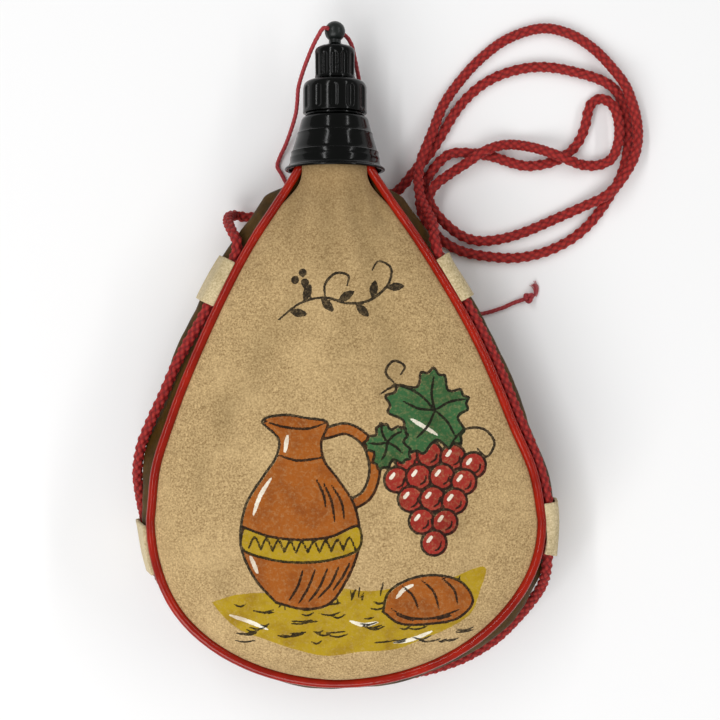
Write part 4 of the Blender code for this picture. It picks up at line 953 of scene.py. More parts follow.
# %% [markdown]
# ## Back panel, band and piping
# The back is the same suede, pressed flat where the bag rests. The band between the panels is
# smooth dark leather, which bulges over the filling. The piping is a cord wrapped in red
# vinyl: it is drawn as a tube along the seam, a little uneven where the stitches pull.

# %% Back panel
formed_panel("back_panel_suede", False, 150, 130, 100, BACK_FOLDS, "back_panel")

# %% Leather and vinyl materials
PEBBLE = 0.0011


def grained_leather(name, main, light, dark):
    """Smooth dark leather: soft gloss, pebbled grain and a few rubbed light specks."""
    material, tree, shader = new_material(name, Specular_IOR_Level=0.10)
    place = object_place(tree)
    cloud = grain_noise(tree, place, 0.009, 4.0, 0.6)
    pebbles = add_node(tree, "ShaderNodeTexVoronoi", {"Vector": place, "Scale": 1 / PEBBLE})
    rubbed = grain_noise(tree, place, 0.0019, 4.0, 0.75)
    tone = mix_colours(tree, spread(tree, cloud, 0.35, 0.65), linear(dark), linear(main))
    tone = mix_colours(tree, spread(tree, rubbed, 0.60, 0.76, 0.0, 0.55), tone, linear(light))
    tree.links.new(tone, shader.inputs["Base Color"])
    tree.links.new(spread(tree, rubbed, 0.4, 0.7, 0.52, 0.68), shader.inputs["Roughness"])
    bump(tree, shader, pebbles.outputs["Distance"], 0.00012, 0.55)
    return material


band_leather = grained_leather("grained_leather_dark_brown", "553C14", "86703F", "38270B")
piping_vinyl, vinyl_tree, vinyl_shader = new_material(
    "plasticised_vinyl_red", Roughness=0.13, Specular_IOR_Level=0.28
)
vinyl_place = object_place(vinyl_tree)
vinyl_cloud = spread(vinyl_tree, grain_noise(vinyl_tree, vinyl_place, 0.012, 3.0), 0.35, 0.65)
vinyl_tone = mix_colours(vinyl_tree, vinyl_cloud, linear("861203"), linear("A01C06"))
vinyl_tree.links.new(vinyl_tone, vinyl_shader.inputs["Base Color"])
bump(vinyl_tree, vinyl_shader, grain_noise(vinyl_tree, vinyl_place, 0.0028, 2.0), 0.0002, 0.5)
print("materials:", band_leather.name, "and", piping_vinyl.name)

# %% Dark leather band
BAND_COLUMNS = 34
BAND_STITCH = 0.0066


def round_seam(rows):
    """Side and y of each station round the outline, left side down and right side up."""
    sides = np.concatenate([np.full(len(rows) - 1, -1.0), [0.0], np.full(len(rows) - 1, 1.0)])
    return sides, np.concatenate([rows[:-1], [LOWEST_Y], rows[:-1][::-1]])


def band_places(side, y, depth):
    """The band's outer face, depth from 0 at the front seam to 1 at the back."""
    edge = PIPING_RADIUS + GAP
    front, back = seam_place(side, y, True), seam_place(side, y, False)
    front[..., 2] -= edge
    back[..., 2] += edge
    share = np.where(side > 0, right_bulge_share(along(y)), left_bulge_share(along(y)))
    out = GUSSET_BULGE * share * np.sin(math.pi * depth) ** 2
    belly = front + (back - front) * depth[..., None] + outline_normal(side, y) * out[..., None]
    radius = neck_radius(y)
    start = NECK_SEAM_ANGLE + edge / NECK_LIP_RADIUS
    angle = start + (math.pi - 2 * start) * depth
    neck = np.stack(
        [AXIS_X + side * radius * np.sin(angle), y, AXIS_Z + radius * np.cos(angle)], -1
    )
    share = neckness(y)[..., None]
    return belly * (1 - share) + neck * share


sides, heights = round_seam(row_heights(150, 110))
bm, depth, station = unit_grid(BAND_COLUMNS, len(sides) - 1)
places = band_places(sides[station], heights[station], depth)
outward = outline_normal(sides[station], heights[station])
run = run_along(seam_place(sides, heights, True))[station]
pull = 0.5 + 0.5 * np.cos(math.tau * run / BAND_STITCH + depth)
pull = pull * np.exp(-np.minimum(depth, 1 - depth) / 0.13)
swell = soft_noise(run, depth * 0.03, 0.026, 11)
loose = (1 - neckness(heights[station])) * np.sin(math.pi * depth)
shift = (swell * 0.0005 - pull * 0.0004) * loose
places = places + outward * shift[:, None]
places[:, 2] = np.maximum(places[:, 2], 0.0002)
move_corners(bm, places)
bmesh.ops.recalc_face_normals(bm, faces=bm.faces[:])
middle = bm.faces[len(bm.faces) // 2]
if middle.normal.dot(middle.calc_center_median() - Vector((AXIS_X, WIDEST_Y, AXIS_Z))) < 0:
    bmesh.ops.reverse_faces(bm, faces=bm.faces[:])
side_band = mesh_object(bm, "side_band_leather", band_leather)
wall = side_band.modifiers.new("leather_thickness", "SOLIDIFY")
wall.thickness = SUEDE_THICKNESS
wall.offset = -1.0
dress(side_band, "root", "side_gusset")
print("band:", len(side_band.data.polygons), "faces before its thickness")

# %% Piping
PIPING_TUCK = 0.0008
VINYL_SWELL = 1.10
PIPING_SIDES = 18
PIPING_STEP = 0.0011


def piping_relief(turn, run):
    slow, quick = np.sin(math.tau * run / 0.0125), np.sin(math.tau * run / 0.0047)
    return VINYL_SWELL + 0.012 * slow + 0.010 * quick


def seam_piping(name, front, node):
    rows = row_heights(90, 70)
    rows = np.concatenate([[LIP_Y + PIPING_TUCK], rows[rows < LIP_Y - 0.0003]])
    seam = seam_place(*round_seam(rows), front)
    route = evenly_spaced(seam, round(run_along(seam)[-1] / PIPING_STEP))
    obj = wrapped_tube(name, route, PIPING_RADIUS, PIPING_SIDES, piping_vinyl, piping_relief)
    dress(obj, "root", node)


seam_piping("front_piping_tube", True, "front_piping")
seam_piping("back_piping_tube", False, "back_piping")

# %% [markdown]
# ## Turned and moulded plastic
# The mouthpiece is injection moulded, and every part of it is round. Each is a profile with
# rounded corners that is spun about the neck's axis. Flutes are pressed into the spun wall by
# moving its corner points in, and a thread is a small wave that climbs as it goes round.

# %% Plastic and rubber materials
black_plastic, tree, shader = new_material(
    "moulded_plastic_black", Base_Color=linear("040504"), Specular_IOR_Level=0.18
)
scuffs = grain_noise(tree, object_place(tree), 0.0032, 4.0, 0.7)
tree.links.new(spread(tree, scuffs, 0.35, 0.7, 0.10, 0.20), shader.inputs["Roughness"])
bump(tree, shader, scuffs, 0.00005, 0.3)
ball_plastic = new_material(
    "handworn_plastic_dark_grey", Base_Color=linear("161B19"), Roughness=0.36,
    Specular_IOR_Level=0.32,
)[0]
seal_rubber = new_material("pressed_rubber_grey", Base_Color=linear("8A857C"), Roughness=0.7)[0]
waxed_cord = yarn_material("waxed_flax_cord", "B39B6E", "6E5A38", "CDB98E", 8, 1.2)
liner_latex = new_material(
    "dipped_latex_amber", Base_Color=linear("B99A62"), Roughness=0.42, Subsurface_Weight=0.15
)[0]
print("materials:", black_plastic.name, "and", seal_rubber.name)

# %% Spun pieces
CORNER_STEPS = 5
FLATS_ROUND = 144


def rounded_profile(corners, step):
    """A line through (radius, y, rounding) corners, rounded there, with places a step apart."""
    flat = [Vector((r, y)) for r, y, _ in corners]
    line = []
    for i, (here, (_, _, rounding)) in enumerate(zip(flat, corners)):
        if rounding == 0 or i in (0, len(flat) - 1):
            line.append(here)
            continue
        back, ahead = flat[i - 1] - here, flat[i + 1] - here
        start = here + back.normalized() * min(rounding, back.length * 0.48)
        end = here + ahead.normalized() * min(rounding, ahead.length * 0.48)
        for k in range(CORNER_STEPS + 1):
            t = k / CORNER_STEPS
            line.append(start * (1 - t) ** 2 + here * 2 * t * (1 - t) + end * t ** 2)
    places = [line[0]]
    for a, b in zip(line, line[1:]):
        count = max(1, math.ceil((b - a).length / step))
        places += [a.lerp(b, (k + 1) / count) for k in range(count)]
    return places


def spun(name, corners, material, body, node, step=0.0004, press=None):
    """A profile spun about the neck's axis. press(radius, y, turn) gives the pressed radius."""
    bm = bmesh.new()
    places = rounded_profile(corners, step)
    verts = [bm.verts.new((AXIS_X + p.x, p.y, AXIS_Z)) for p in places]
    edges = [bm.edges.new(pair) for pair in zip(verts, verts[1:])]
    bmesh.ops.spin(
        bm, geom=verts + edges, cent=(AXIS_X, 0.0, AXIS_Z), axis=(0.0, 1.0, 0.0),
        angle=math.tau, steps=FLATS_ROUND, use_merge=True,
    )
    bmesh.ops.remove_doubles(bm, verts=bm.verts[:], dist=0.000004)
    if press is not None:
        for vert in bm.verts:
            x, z = vert.co.x - AXIS_X, vert.co.z - AXIS_Z
            radius = math.hypot(x, z)
            if radius > 0.0002:
                share = press(radius, vert.co.y, math.atan2(x, z)) / radius
                vert.co.x, vert.co.z = AXIS_X + x * share, AXIS_Z + z * share
    bmesh.ops.recalc_face_normals(bm, faces=bm.faces[:])
    obj = mesh_object(bm, name, material)
    dress(obj, body, node)
    print(name, "has", len(obj.data.polygons), "faces")
    return obj


def thread_height(y, turn, pitch):
    """A rounded screw ridge, from 0 to 1, right-handed about +Y."""
    phase = (y / pitch - turn / math.tau) % 1
    return max(0.0, 1 - abs(phase - 0.5) / 0.30) ** 0.7


def notch_depth(y, turn, count, half_width, low, high, arch):
    """A moulded notch with straight sides and a rounded end, from 0 to 1."""
    pitch = math.tau / count
    aside = abs((turn + pitch / 2) % pitch - pitch / 2) / half_width
    beyond = max(0.0, low - y, y - high) / arch
    inside = 1 - aside ** 2 - beyond ** 2
    return max(0.0, inside) ** 0.5


print("spun pieces have", FLATS_ROUND, "flats and corners of", CORNER_STEPS, "steps")

# %% Neck insert and seals
SPIGOT_RADIUS = 0.0085
BORE_RADIUS = 0.0068
COLLAR_TOP_Y = 0.0902
FLANGE_LOW_Y = COLLAR_TOP_Y + GAP
FLANGE_HIGH_Y = FLANGE_LOW_Y + 0.0007
INSERT_TOP_Y = 0.1002
FILLER_PITCH = 0.0026
FILLER_THREAD_DEPTH = 0.00035
FILLER_THREAD_LENGTH = 0.0060


def insert_thread(radius, y, turn):
    low = FLANGE_HIGH_Y + FILLER_PITCH / 4
    if radius < SPIGOT_RADIUS - 0.0002 or not low < y < low + FILLER_THREAD_LENGTH:
        return radius
    fade = min(1.0, (y - low) / 0.0007, (low + FILLER_THREAD_LENGTH - y) / 0.0007)
    return radius + FILLER_THREAD_DEPTH * fade * thread_height(y, turn, FILLER_PITCH)


spun(
    "neck_insert_moulding",
    (
        (BORE_RADIUS, 0.0840, 0), (BORE_RADIUS, 0.0674, 0.0003),
        (SPIGOT_RADIUS, 0.0674, 0.0009), (SPIGOT_RADIUS, FLANGE_LOW_Y, 0.0002),
        (0.0112, FLANGE_LOW_Y, 0.0002), (0.0112, FLANGE_HIGH_Y, 0.0002),
        (SPIGOT_RADIUS, FLANGE_HIGH_Y, 0.0001), (SPIGOT_RADIUS, INSERT_TOP_Y, 0.0005),
        (BORE_RADIUS, INSERT_TOP_Y, 0.0003), (BORE_RADIUS, 0.0840, 0),
    ),
    black_plastic, "root", "neck_insert", press=insert_thread,
)

SEAL_THICKNESS = 0.0007
WASHER_BORE, WASHER_RADIUS = 0.0059, 0.00805
WASHER_LOW = INSERT_TOP_Y + GAP
WASHER_HIGH = WASHER_LOW + SEAL_THICKNESS
spun(
    "filler_washer",
    (
        (0.0070, WASHER_LOW, 0), (WASHER_RADIUS, WASHER_LOW, 0.0002),
        (WASHER_RADIUS, WASHER_HIGH, 0.0002), (WASHER_BORE, WASHER_HIGH, 0.0002),
        (WASHER_BORE, WASHER_LOW, 0.0002), (0.0070, WASHER_LOW, 0),
    ),
    seal_rubber, "filler_travel", "filler_seal",
)

# %% Collar
LIP_ROOM_RADIUS = 0.0176
FOOT_RADIUS = 0.0173
RIDGE_WIDTH = 0.00055
RIDGE_HEIGHT = 0.00030
RIDGE_PLACES = (0.0745, 0.0770, 0.0841)


def collar_press(radius, y, turn):
    """Three thin raised lines, and the slight unevenness of a thick moulding."""
    if radius < 0.0120 + (0.0902 - y) * 0.20:
        return radius
    ridge = sum(math.exp(-(((y - place) / RIDGE_WIDTH) ** 2)) for place in RIDGE_PLACES)
    wave = 0.00007 * math.sin(3 * turn + y / 0.0021) * math.sin(5 * turn - y / 0.0034)
    return radius + RIDGE_HEIGHT * min(1.0, ridge) * 0.6 + wave


spun(
    "collar_moulding",
    (
        (0.0100, COLLAR_TOP_Y, 0), (0.0088, COLLAR_TOP_Y, 0.0003),
        (0.0088, NECK_TOP_Y + GAP, 0.0003), (0.0129, NECK_TOP_Y + GAP, 0.0003),
        (0.0129, 0.0789, 0.0010), (0.0157, 0.0726, 0.0010),
        (LIP_ROOM_RADIUS, 0.0710, 0.0003), (LIP_ROOM_RADIUS, LIP_Y, 0.0003),
        (0.0190, LIP_Y, 0.0005), (0.0190, 0.0706, 0.0006), (FOOT_RADIUS, 0.0717, 0.0010),
        (0.0164, 0.0768, 0.0001), (0.0161, 0.0770, 0.0002), (0.0141, 0.0839, 0.0001),
        (0.0138, 0.0841, 0.0002), (0.0126, 0.0893, 0.0008), (0.0116, COLLAR_TOP_Y, 0.0006),
        (0.0100, COLLAR_TOP_Y, 0),
    ),
    black_plastic, "root", "neck_collar", press=collar_press,
)

# %% Filler ring with its spout
FILLER_FOOT_Y = COLLAR_TOP_Y + 2 * GAP + 0.0007
FILLER_SHOULDER_Y = FILLER_FOOT_Y + 0.0098
FILLER_TOP_Y = FILLER_SHOULDER_Y + 0.0029
FILLER_CEILING_Y = INSERT_TOP_Y + 2 * GAP + SEAL_THICKNESS
FILLER_RADIUS = 0.0121
FEMALE_RADIUS = SPIGOT_RADIUS + FILLER_THREAD_DEPTH * 2 + 0.0001
SPOUT_RADIUS = 0.0037
SPOUT_BORE_RADIUS = 0.0012
SPOUT_TOP_Y = FILLER_TOP_Y + 0.0080
SPOUT_THREAD_LOW, SPOUT_THREAD_HIGH = FILLER_TOP_Y + 0.0008, SPOUT_TOP_Y - 0.0024
STOPPER_PITCH = 0.0020
NOTCHES = 12


def filler_press(radius, y, turn):
    if radius > 0.0105 and y > FILLER_FOOT_Y + 0.0003:
        notch = notch_depth(
            y, turn, NOTCHES, 0.105, FILLER_FOOT_Y + 0.0022, FILLER_SHOULDER_Y - 0.0012, 0.0012
        )
        return radius - 0.00055 * notch
    on_spout = SPOUT_RADIUS - 0.0001 < radius < SPOUT_RADIUS + 0.0001
    if on_spout and SPOUT_THREAD_LOW < y < SPOUT_THREAD_HIGH:
        fade = min(1.0, (y - SPOUT_THREAD_LOW) / 0.0006, (SPOUT_THREAD_HIGH - y) / 0.0006)
        return radius + 0.0003 * fade * thread_height(y, turn, STOPPER_PITCH)
    return radius


spun(
    "filler_moulding",
    (
        (SPOUT_BORE_RADIUS, 0.1060, 0), (SPOUT_BORE_RADIUS, FILLER_CEILING_Y, 0.0002),
        (FEMALE_RADIUS, FILLER_CEILING_Y, 0.0003), (FEMALE_RADIUS, FILLER_FOOT_Y, 0.0003),
        (FILLER_RADIUS, FILLER_FOOT_Y, 0.0004), (FILLER_RADIUS, FILLER_SHOULDER_Y, 0.0016),
        (0.0113, FILLER_SHOULDER_Y + 0.0019, 0.0012), (0.0089, FILLER_TOP_Y - 0.0001, 0.0012),
        (SPOUT_RADIUS, FILLER_TOP_Y, 0.0004), (SPOUT_RADIUS, SPOUT_TOP_Y, 0.0005),
        (SPOUT_BORE_RADIUS, SPOUT_TOP_Y, 0.0003), (SPOUT_BORE_RADIUS, 0.1060, 0),
    ),
    black_plastic, "filler", "filler_cap", step=0.0003, press=filler_press,
)

# %% Stopper with its ball
STOPPER_FOOT_Y = FILLER_TOP_Y + GAP
STOPPER_SHOULDER_Y = STOPPER_FOOT_Y + 0.0110
STOPPER_DOME_Y = STOPPER_SHOULDER_Y + 0.0020
STOPPER_RADIUS = 0.0076
STALK_RADIUS = 0.0023
BALL_RADIUS = 0.0039
BALL_Y = STOPPER_DOME_Y + 0.0020 + math.sqrt(BALL_RADIUS ** 2 - STALK_RADIUS ** 2)
STOPPER_SEAL_Y = SPOUT_TOP_Y + GAP
STOPPER_CEILING_Y = STOPPER_SEAL_Y + SEAL_THICKNESS + GAP
STOPPER_BORE = SPOUT_RADIUS + 0.00065
BALL_STEPS = 28


def stopper_press(radius, y, turn):
    if radius < STOPPER_RADIUS - 0.0012 or y < STOPPER_FOOT_Y + 0.0009:
        return radius
    arch = notch_depth(
        y, turn, NOTCHES, 0.150, STOPPER_FOOT_Y + 0.0021, STOPPER_SHOULDER_Y - 0.0030, 0.0016
    )
    return radius - 0.00060 * arch


ball_start = math.asin(STALK_RADIUS / BALL_RADIUS)
ball_corners = []
for i in range(1, BALL_STEPS):
    turn = ball_start + (math.pi - ball_start) * i / BALL_STEPS
    ball_corners.append((BALL_RADIUS * math.sin(turn), BALL_Y - BALL_RADIUS * math.cos(turn), 0))
stopper_moulding = spun(
    "stopper_moulding",
    (
        (0.0, STOPPER_CEILING_Y, 0), (STOPPER_BORE, STOPPER_CEILING_Y, 0.0003),
        (STOPPER_BORE, STOPPER_FOOT_Y, 0.0003), (STOPPER_RADIUS, STOPPER_FOOT_Y, 0.0002),
        (STOPPER_RADIUS, STOPPER_FOOT_Y + 0.0010, 0.0002),
        (STOPPER_RADIUS - 0.0001, STOPPER_FOOT_Y + 0.0012, 0.0001),
        (STOPPER_RADIUS, STOPPER_SHOULDER_Y, 0.0008),
        (STOPPER_RADIUS - 0.0010, STOPPER_SHOULDER_Y + 0.0011, 0.0012),
        (STALK_RADIUS + 0.0012, STOPPER_DOME_Y, 0.0010),
        (STALK_RADIUS, STOPPER_DOME_Y + 0.0006, 0.0006),
        (STALK_RADIUS, STOPPER_DOME_Y + 0.0020, 0.0002),
        *ball_corners,
        (0.0, BALL_Y + BALL_RADIUS, 0),
    ),
    black_plastic, "stopper", "stopper_cap", step=0.0003, press=stopper_press,
)
stopper_moulding.data.materials.append(ball_plastic)
for face in stopper_moulding.data.polygons:
    face.material_index = int(face.center.y > STOPPER_DOME_Y + 0.0006)

# The string's hole is drilled through the ball, slanting down to the right.
HOLE_RADIUS = 0.0012
HOLE_DIRECTION = Vector((0.75, -0.15, -0.65)).normalized()

bm = bmesh.new()
bmesh.ops.create_cone(
    bm, cap_ends=True, segments=32, radius1=HOLE_RADIUS, radius2=HOLE_RADIUS, depth=BALL_RADIUS * 3
)
slant = HOLE_DIRECTION.to_track_quat("Z", "Y").to_matrix()
bmesh.ops.rotate(bm, verts=bm.verts[:], cent=Vector(), matrix=slant)
bmesh.ops.translate(bm, verts=bm.verts[:], vec=(AXIS_X, BALL_Y, AXIS_Z))
drill = mesh_object(bm, "string_drill", ball_plastic)
cut = stopper_moulding.modifiers.new("string_hole", "BOOLEAN")
cut.operation = "DIFFERENCE"
cut.solver = "EXACT"
cut.object = drill
drilled = bpy.data.meshes.new_from_object(
    stopper_moulding.evaluated_get(bpy.context.evaluated_depsgraph_get())
)
stopper_moulding.modifiers.clear()
stopper_moulding.data = drilled
bpy.data.objects.remove(drill)

disc_low, disc_high, disc_radius = STOPPER_SEAL_Y, STOPPER_SEAL_Y + SEAL_THICKNESS, 0.00325
spun(
    "stopper_disc",
    (
        (0.0, disc_low, 0), (disc_radius, disc_low, 0.0002), (disc_radius, disc_high, 0.0002),
        (0.0, disc_high, 0),
    ),
    seal_rubber, "stopper_travel", "stopper_seal",
)
print("stopper:", len(stopper_moulding.data.polygons), "faces with its hole")

# %% [markdown]
# ## Inside the neck
# Two hidden pieces hold the drink in. The liner is a thin latex bag with its own neck. The
# waxed cord that binds the leather on the insert is a real helix of three close turns.

# %% Liner and binding
BINDING_WIRE = 0.0014
BINDING_TURNS = 3
BINDING_POINTS = 36


def merged_copy(node, name, material):
    """A smooth copy of a solid's mesh, with its doubled points merged."""
    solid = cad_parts[node]
    bm = bmesh.new()
    bm.from_mesh(solid.data)
    bmesh.ops.transform(bm, matrix=solid.matrix_world, verts=bm.verts[:])
    bmesh.ops.remove_doubles(bm, verts=bm.verts[:], dist=0.00002)
    bmesh.ops.recalc_face_normals(bm, faces=bm.faces[:])
    return mesh_object(bm, name, material)


inner_liner = merged_copy("inner_bladder", "inner_liner", liner_latex)
round_off = inner_liner.modifiers.new("round_off", "SUBSURF")
round_off.levels = round_off.render_levels = 1
dress(inner_liner, "root", "inner_bladder")

winding_radius = NECK_TUBE_RADIUS + GAP + BINDING_WIRE / 2
winding_top = NECK_TOP_Y - GAP - BINDING_WIRE / 2
turns = np.linspace(0, BINDING_TURNS, BINDING_TURNS * BINDING_POINTS + 1)
x, z = winding_radius * np.sin(math.tau * turns), winding_radius * np.cos(math.tau * turns)
winding = np.stack([AXIS_X + x, winding_top - BINDING_WIRE * turns, AXIS_Z + z], 1)
neck_winding = wrapped_tube("neck_winding", winding, BINDING_WIRE / 2, 10, waxed_cord)
dress(neck_winding, "root", "neck_binding")
print("binding:", BINDING_TURNS, "turns of waxed cord")

# %% [markdown]
# ## Suede loops
# Four straps of plain suede are sewn into both seams, with the cord under them. Their solids
# already lie tight over band and cord, so each is a merged copy of its solid, with its grid
# made finer, its cut edges kept crisp, and a slight wave where the hand has bent it.

# %% Suede loops
LOOP_WAVE = 0.00012
RIM_REACH = 0.0020
RIM_HEIGHT = 0.0030

loop_suede = napped("cut_suede_pale", "CAB68C", "E6D4AC", "96845B", "9C8C64", 0.0008)[0]


def drawn_to_piping(places, side):
    """The loop's front rim, drawn up against the piping that it is sewn in with."""
    heights = np.linspace(places[:, 1].min() - 0.01, places[:, 1].max() + 0.01, 400)
    seam, normal = seam_place(side, heights, True), outline_normal(side, heights)
    away = np.linalg.norm(places[:, None, :2] - seam[None, :, :2], axis=2)
    nearest = away.argmin(1)
    offset, outward = places - seam[nearest], normal[nearest]
    out = (offset * outward).sum(1)
    rim = (out < RIM_REACH) & (np.abs(offset[:, 2]) < RIM_HEIGHT)
    return places + outward * np.where(rim, PIPING_RADIUS + SEAM_GAP - out, 0.0)[:, None]


def suede_loop(node):
    obj = merged_copy(node, node + "_suede", loop_suede)
    bm = bmesh.new()
    bm.from_mesh(obj.data)
    crisp = bm.edges.layers.float.new("crease_edge")
    for edge in bm.edges:
        if len(edge.link_faces) == 2 and edge.calc_face_angle() > math.radians(55):
            edge[crisp] = 0.9
    bm.to_mesh(obj.data)
    bm.free()
    finer = obj.modifiers.new("finer", "SUBSURF")
    finer.levels = finer.render_levels = 2
    places = mesh_places(obj)
    wave = soft_noise(places[:, 0] + places[:, 2], places[:, 1], 0.009, 21) * LOOP_WAVE
    away = np.array([v.normal for v in obj.data.vertices])
    places = drawn_to_piping(places + away * wave[:, None], 1 if "right" in node else -1)
    obj.data.vertices.foreach_set("co", places.ravel())
    dress(obj, "root", node)
    return obj


loop_nodes = ("upper_left_loop", "upper_right_loop", "lower_left_loop", "lower_right_loop")
loops = [suede_loop(node) for node in loop_nodes]
print("loops:", [len(loop.data.polygons) for loop in loops], "faces before they are made finer")

# %% [markdown]
# ## A small printed picture
# A souvenir skin like this one is screen printed: a few flat inks first, then a black line
# plate on top, and the plates never meet quite exactly. The picture on this part is a plain one
# drawn for it, a wine jug with grapes and bread on yellow ground, and a vine sprig above. It is
# kept as one number per ink at each point of the panel: how far inside the ink's edge that
# point lies. The material cuts the number at one half, which gives edges finer than the mesh.

# %% Drawing with distances, in millimetres on the panel as seen from above
INKS = ("ochre", "clay", "red", "green", "white", "line")
SHARE_SPAN = 4.0
PLATE_MISFIT = np.array([0.45, -0.35])
PEN_STEP = 0.8
PEN_WIDTH = 1.0

print_places = mesh_places(front_suede)[:, :2] / MM
ink_share = {ink: np.zeros(len(print_places)) for ink in INKS}


def pen_line(points, closed=False):
    """A smooth line through the points."""
    points = list(points) + ([points[0]] if closed else [])
    return smooth_route([(x, y, 0.0) for x, y in points], PEN_STEP)[0][:, :2]


def line_distance(places, line, width=0.0, thin_ends=0.0):
    """Distance of each place from the edge of a pen line, which may thin out at its ends."""
    nearest = np.full(len(places), 99.0)
    near = np.nonzero(np.all(np.abs(places - (line.min(0) + line.max(0)) / 2)
                             < np.ptp(line, 0) / 2 + SHARE_SPAN + width, axis=1))[0]
    for i, (start, end) in enumerate(zip(line[:-1], line[1:])):
        from_start, run = places[near] - start, end - start
        t = np.clip(from_start @ run / (run @ run), 0, 1)
        middle_share = 1 - thin_ends * abs(2 * (i + 0.5) / (len(line) - 1) - 1) ** 3
        away = np.linalg.norm(from_start - t[:, None] * run, axis=1) - width / 2 * middle_share
        nearest[near] = np.minimum(nearest[near], away)
    return nearest


def area(points):
    """The shape inside a smooth closed line. A shape gives distances, negative inside it."""
    line = pen_line(points, closed=True)

    def distance(places):
        odd = np.zeros(len(places), bool)
        for (x0, y0), (x1, y1) in zip(line[:-1], line[1:]):
            spans = (y0 > places[:, 1]) != (y1 > places[:, 1])
            crossing = x0 + (places[:, 1] - y0) / (y1 - y0 if y1 != y0 else 1.0) * (x1 - x0)
            odd ^= spans & (places[:, 0] < crossing)
        away = line_distance(places, line)
        return np.where(odd, -away, away)

    return distance


def disc(x, y, radius):
    return lambda places: np.linalg.norm(places - (x, y), axis=1) - radius


def bar(points, width, thin_ends=0.0):
    return lambda places: line_distance(places, pen_line(points), width, thin_ends)


def share(distance):
    return np.clip(0.5 - distance / SHARE_SPAN, 0.0, 1.0)


def print_area(ink, shape, outline=PEN_WIDTH):
    """One flat area of ink and its outline. It hides what was drawn before it."""
    inked, drawn = share(shape(print_places - PLATE_MISFIT)), shape(print_places)
    for other in INKS[:-1]:
        ink_share[other] = np.minimum(ink_share[other], 1 - inked)
    ink_share[ink] = np.maximum(ink_share[ink], inked)
    ink_share["line"] = np.minimum(ink_share["line"], 1 - share(drawn))
    if outline:
        pen(lambda places: np.abs(drawn) - outline / 2)


def pen(shape, ink="line"):
    """A pen stroke of one ink over everything else."""
    ink_share[ink] = np.maximum(ink_share[ink], share(shape(print_places)))


print("printing on", len(print_places), "points of the panel")

# %% Ground, jug and loaf
GROUND = (
    (-50, -90), (-41, -87), (-31, -86), (-18, -87), (-6, -84), (8, -85), (22, -83), (36, -81),
    (50, -77), (48, -86), (45, -94), (36, -100), (28, -103), (18, -107), (4, -108), (-8, -109.5),
    (-20, -107), (-32, -103), (-40, -100), (-46, -95),
)
JUG = (
    (-25.8, -89.8), (-33.5, -81), (-38.5, -69), (-36.8, -54.6), (-30.2, -43.6), (-25.8, -37),
    (-24.7, -30.4), (-30.8, -23.8), (-23.6, -21.6), (-14.8, -22.7), (-7.1, -24.4), (-9.3, -31.5),
    (-8.2, -38), (-3.3, -44.7), (2.8, -54.6), (4.5, -67.8), (0, -81), (-7, -90.4), (-16, -92),
)
JUG_BAND = (
    (-37.8, -62.3), (-28, -65.6), (-17, -66.7), (-6, -65.6), (4.1, -61.8), (4.5, -69.5),
    (-6, -73.9), (-17, -75), (-28, -73.9), (-38.2, -70),
)
JUG_HANDLE = ((-7.7, -28.2), (0, -26.6), (7.2, -31.5), (10, -41.4), (7.2, -50.2), (1.7, -54))
JUG_LINES = (
    ((-30, -23.8), (-22.6, -26), (-14, -26.5), (-8, -24.6)), ((-25.3, -36), (-18, -38), (-9, -37)),
    ((-5.5, -47), (-2, -53), (-1, -59)), ((-8.5, -46), (-5.5, -53), (-4.5, -60)),
    ((-11, -45), (-8.6, -50), (-7.6, -55)), ((-3, -76.5), (-6, -83), (-10.5, -88)),
    ((-7, -77), (-10, -84), (-14, -89.5)), ((-11.5, -77.5), (-14, -84), (-17.5, -90)),
    ((1, -75), (-1.5, -80), (-5, -85)), ((-16, -78), (-18, -84), (-21, -89)),
)
LOAF = (
    (13, -93), (15, -86), (23, -81), (34, -80), (42, -83), (46, -90), (41, -96), (30, -98), (19, -97.5),
)
LOAF_LINES = (
    ((20, -83.5), (24, -87.5), (26, -92.5)), ((27, -81.5), (31.5, -86), (33.5, -92.5)),
    ((34.5, -81), (39, -85.5), (40.5, -91)), ((16, -92), (22, -95.3), (32, -95.8), (41, -93)),
    ((18, -94.2), (24, -96.6)), ((33, -96.3), (38, -95.2)),
)
rng = np.random.default_rng(21)

print_area("ochre", area(GROUND), outline=0)
for _ in range(60):
    x, y = rng.uniform(-42, 40), rng.uniform(-105, -89)
    reach = rng.uniform(3, 8)
    pen(bar(((x, y), (x + reach / 2, y + rng.uniform(-0.8, 0.2)), (x + reach, y + 0.5)), 0.75, 0.6))
for _ in range(24):
    x = rng.uniform(-46, 46)
    foot = (x, -88.5 + 4 * x / 45 + rng.uniform(-2, 1))
    pen(bar((foot, (x + rng.uniform(-1.5, 1.5), foot[1] + rng.uniform(3, 5.5))), 0.75, 0.5))
print_area("clay", bar(JUG_HANDLE, 3.8))
print_area("clay", area(JUG))
print_area("ochre", area(JUG_BAND))
for k in range(9):
    x = -33.5 + 4.3 * k
    y = -69.5 - 1.9 * math.sin(math.pi * (k + 0.5) / 9)
    pen(bar(((x - 2.1, y), (x, y + 4), (x + 2.1, y)), 0.8))
print_area("clay", area(LOAF))
for points in JUG_LINES + LOAF_LINES:
    pen(bar(points, PEN_WIDTH, 0.5))
print("ground, jug and loaf drawn")

